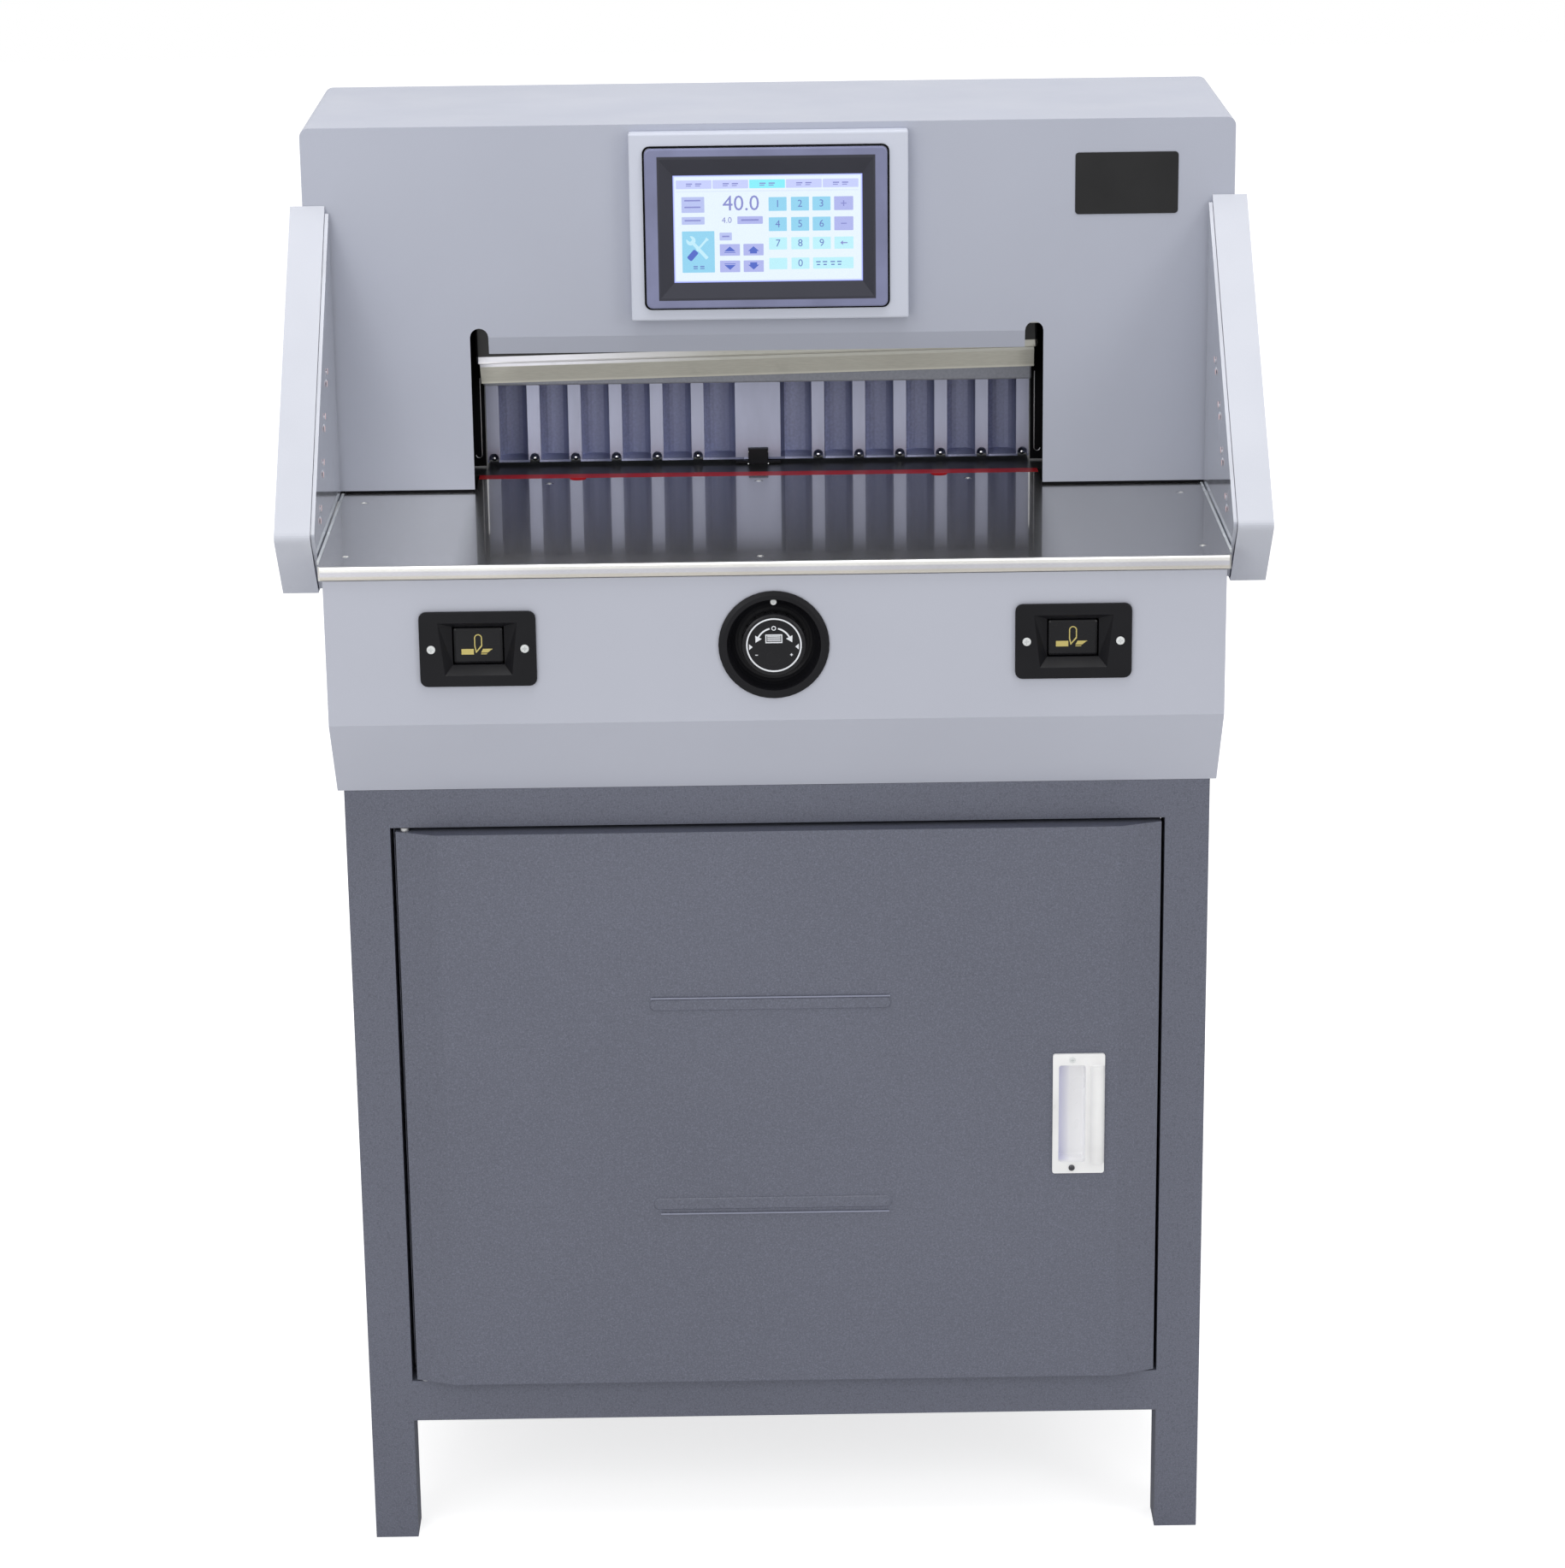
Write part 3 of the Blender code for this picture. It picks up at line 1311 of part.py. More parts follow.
def make_gauge_drive():
    middle = throat_offset
    carriage_top = table_top - gap - rear_table_thickness - wing_thickness
    back = carriage_front + carriage_depth
    low = drive_height - carriage_height / 2
    high = drive_height + carriage_height / 2
    carriage = box((middle - carriage_width / 2, carriage_front, low),
                   (middle + carriage_width / 2, back, high))
    tower = box((middle - carriage_tower_width / 2, carriage_front, drive_height),
                (middle + carriage_tower_width / 2, back, carriage_top))
    joined(carriage, tower)
    rods = (middle - guide_rod_spread / 2, middle + guide_rod_spread / 2)
    bores = [cylinder(lead_screw_radius + gap, carriage_front - overrun, back + overrun,
                      (middle, 0, drive_height), "Y")]
    for x in rods:
        bores.append(cylinder(guide_rod_radius + gap, carriage_front - overrun, back + overrun,
                              (x, 0, drive_height), "Y"))
    keep(cut(carriage, *bores), "gauge_carriage", "cast_grey")
    block = box((middle - block_width / 2, block_front, carriage_top + gap),
                (middle + block_width / 2, block_front + block_depth, block_top))
    wings = box((middle - wing_width / 2, block_front, table_top - gap + wing_lift),
                (middle + wing_width / 2, block_front + block_depth,
                 table_top - gap + wing_lift + wing_thickness))
    foot = box((middle - block_width / 2, carriage_front, carriage_top + gap),
               (middle + block_width / 2, block_front + block_depth, carriage_top + wing_thickness))
    keep(joined(block, wings, foot), "gauge_block", "black_plastic")
    bearer_back = bearer_front + bearer_depth
    top = bed_bottom - gap
    bearer = box((middle - bearer_width / 2, bearer_front, top - bearer_height),
                 (middle + bearer_width / 2, bearer_back, top))
    hole = cylinder(lead_journal_radius + gap, bearer_front - overrun, bearer_back + overrun,
                    (middle, 0, drive_height), "Y")
    keep(cut(bearer, hole), "lead_screw_bearer", "cast_grey")
    start = bearer_back + gap
    end = rear_reach - rear_wall_sheet - gap
    profile = (
        (0, end), (lead_screw_radius, end), (lead_screw_radius, start), (lead_journal_radius, start),
        (lead_journal_radius, bearer_front), (0, bearer_front),
    )
    screw = turned(profile, (middle, 0, drive_height), "Y")
    keep(shaded(pivot_at(screw, (middle, start, drive_height))), "lead_screw", "steel")
    for x, name in zip(rods, ("left", "right")):
        rod = cylinder(guide_rod_radius, start, end, (x, 0, drive_height), "Y")
        keep(rod, "guide_rod_" + name, "bright_steel")
    motor = cylinder(gauge_motor_radius, bearer_front - gap - gauge_motor_length, bearer_front - gap,
                     (middle, 0, drive_height), "Y")
    keep(motor, "gauge_motor", "dark_grey_plastic")


def make_guillotine():
    make_stand()
    make_cabinet()
    make_door()
    make_handle()
    make_hinge_pins()
    make_base()
    make_front_table()
    make_rear_table()
    make_lower_covers()
    make_front_cover()
    make_hood()
    make_guards()
    make_screen()
    make_cut_buttons()
    make_turning_knob()
    make_knife()
    make_knife_drive()
    make_clamp()
    make_back_gauge()
    make_gauge_drive()
    centre = bpy.data.objects.new("machine_centre", None)
    bpy.context.scene.collection.objects.link(centre)
    centre.location = (0, -centre_back, 0)
    for obj in list(bpy.data.objects):
        if obj is not centre and obj.parent is None:
            obj.parent = centre


make_guillotine()
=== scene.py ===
import math
import bmesh
import bpy
from mathutils import Matrix, Vector


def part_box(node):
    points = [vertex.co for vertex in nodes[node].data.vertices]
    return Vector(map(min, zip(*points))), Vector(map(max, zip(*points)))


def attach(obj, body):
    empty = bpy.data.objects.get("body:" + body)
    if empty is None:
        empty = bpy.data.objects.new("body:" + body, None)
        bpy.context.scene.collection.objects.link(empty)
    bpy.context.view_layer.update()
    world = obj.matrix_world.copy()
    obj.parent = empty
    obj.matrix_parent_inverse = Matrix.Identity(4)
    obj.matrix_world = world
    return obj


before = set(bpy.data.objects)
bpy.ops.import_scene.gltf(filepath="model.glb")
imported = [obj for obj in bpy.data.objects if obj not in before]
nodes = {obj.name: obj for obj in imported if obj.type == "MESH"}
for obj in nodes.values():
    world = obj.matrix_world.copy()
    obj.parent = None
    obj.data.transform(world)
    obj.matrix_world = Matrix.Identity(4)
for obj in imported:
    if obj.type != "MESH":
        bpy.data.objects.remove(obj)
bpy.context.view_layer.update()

mm = 0.001  # every size below is in millimetres, every place in metres
print("frame loaded:", len(nodes), "nodes")


# studio: camera, lamps, floor and the white surround
studio = {
    "cameraPlace": (-0.0169, -3.7520, 1.7378),
    "yawDegrees": 0.36,
    "pitchDegrees": 17.39,
    "rollDegrees": 0.69,
    "lensMm": 99.0,
    "sensorMm": 36.0,
    "worldStrength": 0.50,
    "floorHalf": 9.0,
    "floorColour": (0.93, 0.93, 0.93),
    "floorLift": 0.68,
    "lamps": (
        ("overheadLamp", (0.1, -0.6, 3.7), (0.0, -0.1, 0.9), 2.2, 50.0),
        ("leftFrontLamp", (-2.2, -3.2, 2.5), (0.0, -0.2, 0.8), 1.6, 17.0),
        ("rightFrontLamp", (2.4, -2.6, 1.9), (0.0, -0.2, 0.8), 1.2, 13.0),
        ("lowFrontLamp", (-1.1, -3.4, 1.15), (-0.1, -0.1, 0.92), 0.7, 10.0),
    ),
}


def makeCamera(settings):
    yaw, pitch, roll = (math.radians(settings[key]) for key in ("yawDegrees", "pitchDegrees", "rollDegrees"))
    forward = Vector((math.sin(yaw) * math.cos(pitch), math.cos(yaw) * math.cos(pitch), -math.sin(pitch)))
    right = Vector((math.cos(yaw), -math.sin(yaw), 0))
    down = forward.cross(right)
    imageRight = math.cos(roll) * right + math.sin(roll) * down
    imageDown = -math.sin(roll) * right + math.cos(roll) * down
    cameraData = bpy.data.cameras.new("photoCamera")
    cameraData.sensor_fit = "VERTICAL"
    cameraData.sensor_height = settings["sensorMm"]
    cameraData.lens = settings["lensMm"]
    cameraData.clip_end = 60
    camera = bpy.data.objects.new("photoCamera", cameraData)
    turn = Matrix((imageRight, -imageDown, -forward)).transposed()
    camera.matrix_world = Matrix.Translation(settings["cameraPlace"]) @ turn.to_4x4()
    bpy.context.scene.collection.objects.link(camera)
    bpy.context.scene.camera = camera


def makeLamp(name, place, target, size, power):
    lampData = bpy.data.lights.new(name, "AREA")
    lampData.size = size
    lampData.energy = power
    lamp = bpy.data.objects.new(name, lampData)
    lamp.location = place
    lamp.rotation_euler = (Vector(target) - Vector(place)).to_track_quat("-Z", "Y").to_euler()
    bpy.context.scene.collection.objects.link(lamp)


def makeWorld(strength):
    world = bpy.data.worlds.new("whiteSurround")
    world.use_nodes = True
    tree = world.node_tree
    background = tree.nodes["Background"]
    rays = tree.nodes.new("ShaderNodeLightPath")
    seen = tree.nodes.new("ShaderNodeMath")
    seen.operation = "MAXIMUM"
    tree.links.new(rays.outputs["Is Camera Ray"], seen.inputs[0])
    tree.links.new(rays.outputs["Is Glossy Ray"], seen.inputs[1])
    level = tree.nodes.new("ShaderNodeMapRange")
    level.inputs["To Min"].default_value = strength
    level.inputs["To Max"].default_value = 1
    tree.links.new(seen.outputs[0], level.inputs["Value"])
    tree.links.new(level.outputs[0], background.inputs["Strength"])
    background.inputs["Color"].default_value = (1, 1, 1, 1)
    bpy.context.scene.world = world


def meshFrom(made, name):
    mesh = bpy.data.meshes.new(name)
    made.to_mesh(mesh)
    made.free()
    return mesh


# the floor looks white to the camera away from the machine and keeps a faint shadow beside the feet
def makeFloor(half, colour):
    made = bmesh.new()
    bmesh.ops.create_grid(made, x_segments=4, y_segments=4, size=half)
    data = meshFrom(made, "paleFloor")
    floor = bpy.data.objects.new("paleFloor", data)
    bpy.context.scene.collection.objects.link(floor)
    material = bpy.data.materials.new("paleFloor")
    material.use_nodes = True
    tree = material.node_tree
    shader = tree.nodes["Principled BSDF"]
    shader.inputs["Base Color"].default_value = (*colour, 1)
    shader.inputs["Roughness"].default_value = 0.9
    shader.inputs["Specular IOR Level"].default_value = 0
    glow = tree.nodes.new("ShaderNodeEmission")
    rays = tree.nodes.new("ShaderNodeLightPath")
    lift = tree.nodes.new("ShaderNodeMath")
    lift.operation = "MULTIPLY"
    lift.inputs[1].default_value = studio["floorLift"]
    both = tree.nodes.new("ShaderNodeAddShader")
    tree.links.new(rays.outputs["Is Camera Ray"], lift.inputs[0])
    tree.links.new(lift.outputs[0], glow.inputs["Strength"])
    tree.links.new(shader.outputs[0], both.inputs[0])
    tree.links.new(glow.outputs[0], both.inputs[1])
    tree.links.new(both.outputs[0], tree.nodes["Material Output"].inputs["Surface"])
    data.materials.append(material)


makeCamera(studio)
for lampWords in studio["lamps"]:
    makeLamp(*lampWords)
makeWorld(studio["worldStrength"])
makeFloor(studio["floorHalf"], studio["floorColour"])
bpy.context.scene.view_settings.view_transform = "Standard"
print("studio ready")


# finishes: each is a Principled shader with its own colour change, roughness change and bump
def startFinish(name, colour, roughness, metallic=0.0, coat=0.0):
    material = bpy.data.materials.new(name)
    material.use_nodes = True
    tree = material.node_tree
    shader = tree.nodes["Principled BSDF"]
    shader.inputs["Base Color"].default_value = (*colour, 1)
    shader.inputs["Roughness"].default_value = roughness
    shader.inputs["Metallic"].default_value = metallic
    shader.inputs["Coat Weight"].default_value = coat
    place = tree.nodes.new("ShaderNodeTexCoord")
    return material, tree, shader, place.outputs["Object"]


def grain(tree, coordinates, scale, detail=2.0, stretch=(1, 1, 1)):
    mapping = tree.nodes.new("ShaderNodeMapping")
    mapping.inputs["Scale"].default_value = stretch
    tree.links.new(coordinates, mapping.inputs["Vector"])
    noise = tree.nodes.new("ShaderNodeTexNoise")
    noise.inputs["Scale"].default_value = scale
    noise.inputs["Detail"].default_value = detail
    tree.links.new(mapping.outputs[0], noise.inputs["Vector"])
    return noise.outputs["Fac"]


def remap(tree, value, low, high, fromLow=0.3, fromHigh=0.7):
    change = tree.nodes.new("ShaderNodeMapRange")
    change.inputs["From Min"].default_value = fromLow
    change.inputs["From Max"].default_value = fromHigh
    change.inputs["To Min"].default_value = low
    change.inputs["To Max"].default_value = high
    tree.links.new(value, change.inputs["Value"])
    return change.outputs[0]


def blendColours(tree, factor, first, second):
    mix = tree.nodes.new("ShaderNodeMix")
    mix.data_type = "RGBA"
    for socket, colour in ((mix.inputs[6], first), (mix.inputs[7], second)):
        if hasattr(colour, "links"):
            tree.links.new(colour, socket)
        else:
            socket.default_value = (*colour, 1)
    tree.links.new(factor, mix.inputs[0])
    return mix.outputs[2]


def addBump(tree, shader, height, strength, distance):
    bump = tree.nodes.new("ShaderNodeBump")
    bump.inputs["Strength"].default_value = strength
    bump.inputs["Distance"].default_value = distance
    tree.links.new(height, bump.inputs["Height"])
    tree.links.new(bump.outputs[0], shader.inputs["Normal"])


def shade(colour, factor):
    return tuple(min(1.0, part * factor) for part in colour)


# a mask that rises from 0 to 1 between two places along one way through the piece, in millimetres
def easeAlong(tree, coordinates, way, start, end):
    reach = tree.nodes.new("ShaderNodeVectorMath")
    reach.operation = "DOT_PRODUCT"
    reach.inputs[1].default_value = way
    tree.links.new(coordinates, reach.inputs[0])
    return remap(tree, reach.outputs["Value"], 0, 1, start * mm, end * mm)


def combine(tree, operation, first, second):
    both = tree.nodes.new("ShaderNodeMath")
    both.operation = operation
    tree.links.new(first, both.inputs[0])
    tree.links.new(second, both.inputs[1])
    return both.outputs[0]


# 1 outside a rectangle on the front, 0 inside it: (left, right, bottom, top) and the width of the change
def outsideOf(tree, place, edges, soft):
    left, right, bottom, top = edges
    sides = combine(tree, "MAXIMUM", easeAlong(tree, place, (-1, 0, 0), -left, -left + soft),
                    easeAlong(tree, place, (1, 0, 0), right, right + soft))
    ends = combine(tree, "MAXIMUM", easeAlong(tree, place, (0, 0, -1), -bottom, -bottom + soft),
                   easeAlong(tree, place, (0, 0, 1), top, top + soft))
    return combine(tree, "MAXIMUM", sides, ends)


# powder coat: faint cloudiness, a fine orange peel and slightly duller patches
def powderCoat(name, colour, roughness=0.42, cloud=0.035, peelScale=700, peel=0.10, fleck=0.0, sheen=0.5):
    material, tree, shader, place = startFinish(name, colour, roughness)
    shader.inputs["Specular IOR Level"].default_value = sheen
    cloudy = grain(tree, place, 3.2, 3)
    tone = blendColours(tree, remap(tree, cloudy, 0, 1), shade(colour, 1 - cloud), shade(colour, 1 + cloud))
    if fleck:
        flecks = grain(tree, place, 950, 1)
        tone = blendColours(tree, remap(tree, flecks, 0, fleck, 0.48, 0.72), tone, shade(colour, 2.2))
        pits = grain(tree, place, 620, 1)
        tone = blendColours(tree, remap(tree, pits, 0, fleck, 0.52, 0.74), tone, shade(colour, 0.35))
    tree.links.new(tone, shader.inputs["Base Color"])
    tree.links.new(remap(tree, grain(tree, place, 14, 3), roughness - 0.05, roughness + 0.06),
                   shader.inputs["Roughness"])
    addBump(tree, shader, grain(tree, place, peelScale, 2), peel, 0.0004)
    return material


# ground or drawn steel: long fine scratches along one way, with dull smears
def groundSteel(name, colour, roughness, stretch, scratch=0.06, smear=0.08, lines=260, bump=0.03):
    material, tree, shader, place = startFinish(name, colour, roughness, 1.0)
    fine = grain(tree, place, lines, 3, stretch)
    tone = blendColours(tree, remap(tree, fine, 0, 1), shade(colour, 1 - scratch), shade(colour, 1 + scratch))
    smears = grain(tree, place, 9, 4)
    tone = blendColours(tree, remap(tree, smears, 0, 0.5, 0.45, 0.75), tone, shade(colour, 1 - smear * 2))
    tree.links.new(tone, shader.inputs["Base Color"])
    tree.links.new(remap(tree, smears, roughness, roughness + smear), shader.inputs["Roughness"])
    addBump(tree, shader, fine, bump, 0.0002)
    return material


# polished table top: a sharp mirror over ground steel, darker between two places along X, a painted
# reflection of the dark throat
def polishedTop(name, colour, mirror, paintedReflectionEnds):
    material = groundSteel(name, colour, 0.26, (1.5, 1, 1), 0.04, 0.012, 110, 0.0)
    tree = material.node_tree
    shader = tree.nodes["Principled BSDF"]
    place = tree.nodes["Texture Coordinate"].outputs["Object"]
    tone = shader.inputs["Base Color"].links[0].from_socket
    left, right = paintedReflectionEnds
    soft = 12  # half the width of the change
    # painted reflection: the top's colour is darkened between the given ends along X, standing for the
    # mirrored dark throat
    fromLeft = easeAlong(tree, place, (1, 0, 0), left - soft, left + soft)
    fromRight = easeAlong(tree, place, (-1, 0, 0), -right - soft, -right + soft)
    middle = combine(tree, "MULTIPLY", fromLeft, remap(tree, fromRight, 0.6, 1, 0, 1))
    tone = blendColours(tree, remap(tree, middle, 0, 0.9, 0, 1), tone, shade(colour, 0.3))
    tree.links.new(tone, shader.inputs["Base Color"])
    shader.inputs["Coat Weight"].default_value = 1.0
    shader.inputs["Coat IOR"].default_value = mirror
    shader.inputs["Coat Roughness"].default_value = 0.05
    return material


# machined casting: small grain, light metal sheen
def machinedCasting(name, colour, roughness=0.45, metallic=0.55):
    material, tree, shader, place = startFinish(name, colour, roughness, metallic)
    pits = grain(tree, place, 420, 4)
    tone = blendColours(tree, remap(tree, pits, 0, 1), shade(colour, 0.92), shade(colour, 1.08))
    tree.links.new(tone, shader.inputs["Base Color"])
    tree.links.new(remap(tree, grain(tree, place, 30, 3), roughness - 0.06, roughness + 0.08),
                   shader.inputs["Roughness"])
    addBump(tree, shader, pits, 0.12, 0.0004)
    return material


# rises from 0 to 1 again and again along X; start and pitch are in millimetres
def sawAlong(tree, coordinates, start, pitch):
    split = tree.nodes.new("ShaderNodeSeparateXYZ")
    tree.links.new(coordinates, split.inputs[0])
    turns = tree.nodes.new("ShaderNodeMath")
    turns.operation = "MULTIPLY_ADD"
    turns.inputs[1].default_value = 1 / (pitch * mm)
    turns.inputs[2].default_value = -start / pitch
    tree.links.new(split.outputs["X"], turns.inputs[0])
    rest = tree.nodes.new("ShaderNodeMath")
    rest.operation = "FRACT"
    tree.links.new(turns.outputs[0], rest.inputs[0])
    return rest.outputs[0]


# the back gauge: ground rib fronts; pockets painted from a lit tone on their left to a shaded tone on their
# right, a painted light-to-shade ramp; a dull back; and a sole in the shaded pocket tone, a painted shade
gaugeEdges = {"faceEnd": 0.3, "pocketStart": 1.6, "backStart": 27.5, "backEnd": 28.5, "soleSoft": 0.2}


def gaugeFinish(name, ground, litPocketColour, shadedPocketColour, front, sole, pockets):
    material, tree, shader, place = startFinish(name, ground, 0.3, 0.9)
    pits = grain(tree, place, 420, 4)
    streaks = grain(tree, place, 60, 4, (1, 1, 0.25))
    face = blendColours(tree, remap(tree, streaks, 0, 1), shade(ground, 0.93), shade(ground, 1.07))
    # painted light and shade: each pocket ramps from a lit colour on its left to a shaded colour on its right
    pocketShadeRamp = remap(tree, sawAlong(tree, place, *pockets), 0, 1, 0.02, 0.62)
    paintedPocketTone = blendColours(tree, pocketShadeRamp, litPocketColour, shadedPocketColour)
    paintedPocketTone = blendColours(tree, remap(tree, pits, 0, 0.35), paintedPocketTone, shade(shadedPocketColour, 0.8))
    words = gaugeEdges
    behind = easeAlong(tree, place, (0, 1, 0), front + words["backStart"], front + words["backEnd"])
    paintedPocketTone = blendColours(tree, behind, paintedPocketTone, shade(shadedPocketColour, 1.5))
    inPocket = easeAlong(tree, place, (0, 1, 0), front + words["faceEnd"], front + words["pocketStart"])
    # painted shade: below the sole height the ground face gives way to the shaded pocket tone
    deep = combine(tree, "MAXIMUM", inPocket,
                   easeAlong(tree, place, (0, 0, -1), -sole, -sole + words["soleSoft"]))
    tree.links.new(blendColours(tree, deep, face, paintedPocketTone), shader.inputs["Base Color"])
    tree.links.new(remap(tree, deep, 0.7, 0.25, 0, 1), shader.inputs["Metallic"])
    tree.links.new(remap(tree, deep, 0.30, 0.55, 0, 1), shader.inputs["Roughness"])
    addBump(tree, shader, pits, 0.12, 0.0004)
    return material


# moulded plastic: fine spark texture and soft handling marks
def mouldedPlastic(name, colour, roughness=0.38, textureScale=1100, bump=0.10, coat=0.0, sheen=0.5):
    material, tree, shader, place = startFinish(name, colour, roughness, coat=coat)
    shader.inputs["Specular IOR Level"].default_value = sheen
    handled = grain(tree, place, 22, 3)
    tone = blendColours(tree, remap(tree, handled, 0, 1), shade(colour, 0.92), shade(colour, 1.10))
    tree.links.new(tone, shader.inputs["Base Color"])
    tree.links.new(remap(tree, handled, roughness - 0.05, roughness + 0.08), shader.inputs["Roughness"])
    addBump(tree, shader, grain(tree, place, textureScale, 2), bump, 0.0003)
    return material


# the door handle: white moulding whose finger cup goes from lavender to plain white, a painted shade in the
# recess
def cupPlastic(name, colour, shadow, light, floor, cupLeft):
    material = mouldedPlastic(name, colour, 0.30, 1300, 0.03)
    tree = material.node_tree
    shader = tree.nodes["Principled BSDF"]
    place = tree.nodes["Texture Coordinate"].outputs["Object"]
    tone = shader.inputs["Base Color"].links[0].from_socket
    # painted shade: the deep part of the cup goes from the shadow colour on its hinge side to the light
    # colour
    inner = blendColours(tree, easeAlong(tree, place, (1, 0, 0), cupLeft, cupLeft + 9), shadow, light)
    deep = easeAlong(tree, place, (0, 1, 0), floor, floor + 6)
    tree.links.new(blendColours(tree, deep, tone, inner), shader.inputs["Base Color"])
    return material


def glowing(name, colour, strength, roughness=0.15, edges=None):
    material, tree, shader, place = startFinish(name, shade(colour, 0.04), roughness)
    shader.inputs["Specular IOR Level"].default_value = 0.1
    pixels = grain(tree, place, 2600, 1)
    tone = blendColours(tree, remap(tree, pixels, 0, 1), shade(colour, 0.96), shade(colour, 1.04))
    if edges:
        tone = blendColours(tree, outsideOf(tree, place, edges, 2.4), tone, (0.10, 0.12, 1.0))
    tree.links.new(tone, shader.inputs["Emission Color"])
    shader.inputs["Emission Strength"].default_value = strength
    return material


# the table's steel nosing: polished, with painted reflections in bands: a pale upper band, a cooler middle
# and a warmer foot
def bandedSteel(name, paintedReflectionBands, roughness, stretch):
    material, tree, shader, place = startFinish(name, paintedReflectionBands[0][1], roughness, 1.0)
    tone = paintedReflectionBands[0][1]
    # painted reflection: the colour changes with height, in bands standing for mirrored light and
    # surroundings
    for (low, colour), (high, above) in zip(paintedReflectionBands, paintedReflectionBands[1:]):
        tone = blendColours(tree, easeAlong(tree, place, (0, 0, 1), high - 0.7, high + 0.7), tone, above)
    fine = grain(tree, place, 240, 3, stretch)
    rubbed = blendColours(tree, remap(tree, fine, 0, 0.18), tone, (0.30, 0.29, 0.28))
    tree.links.new(rubbed, shader.inputs["Base Color"])
    tree.links.new(remap(tree, grain(tree, place, 12, 3), roughness - 0.05, roughness + 0.08),
                   shader.inputs["Roughness"])
    addBump(tree, shader, fine, 0.04, 0.0002)
    return material


# knife steel: ground below the bevel line, a painted highlight above it towards the left end, a painted
# highlight along the edge, and black paint above the bare band; the lines are heights in millimetres that
# rise with the knife's slant
knifeLines = {"tilt": 0.0192, "brightStart": 40, "brightEnd": 175, "edgeTop": 970.0, "edgeFoot": 968.6,
              "bevelSoft": 0.4, "paintSoft": 0.3}


def knifeFinish(name, ground, paintedHighlight, bevelLine, paintLine=None):
    material, tree, shader, place = startFinish(name, ground, 0.30, 1.0)
    words = knifeLines
    tilt, soft, paintSoft = words["tilt"], words["bevelSoft"], words["paintSoft"]
    rising = (-tilt, 0, 1)
    fine = grain(tree, place, 120, 3, (1, 1, 16))
    tone = blendColours(tree, remap(tree, fine, 0, 1), shade(ground, 0.94), shade(ground, 1.06))
    # painted highlight: the band above the bevel is made paler towards the left end
    leftEnd = easeAlong(tree, place, (-1, 0, 0), words["brightStart"], words["brightEnd"])
    aboveBevel = easeAlong(tree, place, rising, bevelLine - soft, bevelLine + soft)
    paintedLeftHighlight = combine(tree, "MULTIPLY", aboveBevel, leftEnd)
    tone = blendColours(tree, paintedLeftHighlight, tone, paintedHighlight)
    # painted highlight: the lowest millimetre or two along the edge is made paler
    edge = easeAlong(tree, place, (tilt, 0, -1), -words["edgeTop"], -words["edgeFoot"])
    tone = blendColours(tree, edge, tone, shade(ground, 1.25))
    stains = remap(tree, grain(tree, place, 26, 5), 0, 0.55, 0.60, 0.80)
    tone = blendColours(tree, stains, tone, shade(ground, 0.62))
    worn = remap(tree, grain(tree, place, 9, 4), 0.28, 0.40)
    if paintLine:
        painted = easeAlong(tree, place, rising, paintLine - paintSoft, paintLine + paintSoft)
        tone = blendColours(tree, painted, tone, (0.012, 0.012, 0.013))
        tree.links.new(remap(tree, painted, 1, 0, 0, 1), shader.inputs["Metallic"])
    tree.links.new(tone, shader.inputs["Base Color"])
    tree.links.new(worn, shader.inputs["Roughness"])
    addBump(tree, shader, fine, 0.03, 0.0002)
    return material


# the panel's black surround: a paler flat ring round the darker slopes, a painted reflection on the ring and
# painted shade on the slopes
def surroundPlastic(name, ring, slope, edges):
    material, tree, shader, place = startFinish(name, slope, 0.36)
    shader.inputs["Specular IOR Level"].default_value = 0.4
    handled = grain(tree, place, 22, 3)
    # painted reflection and shade: the flat ring outside the given edges is paler than the slopes inside
    outer = outsideOf(tree, place, edges, 0.5)
    tone = blendColours(tree, outer, slope, ring)
    tone = blendColours(tree, remap(tree, handled, 0, 0.25), tone, shade(slope, 0.7))
    tree.links.new(tone, shader.inputs["Base Color"])
    tree.links.new(remap(tree, handled, 0.30, 0.42), shader.inputs["Roughness"])
    addBump(tree, shader, grain(tree, place, 1100, 2), 0.08, 0.0003)
    return material


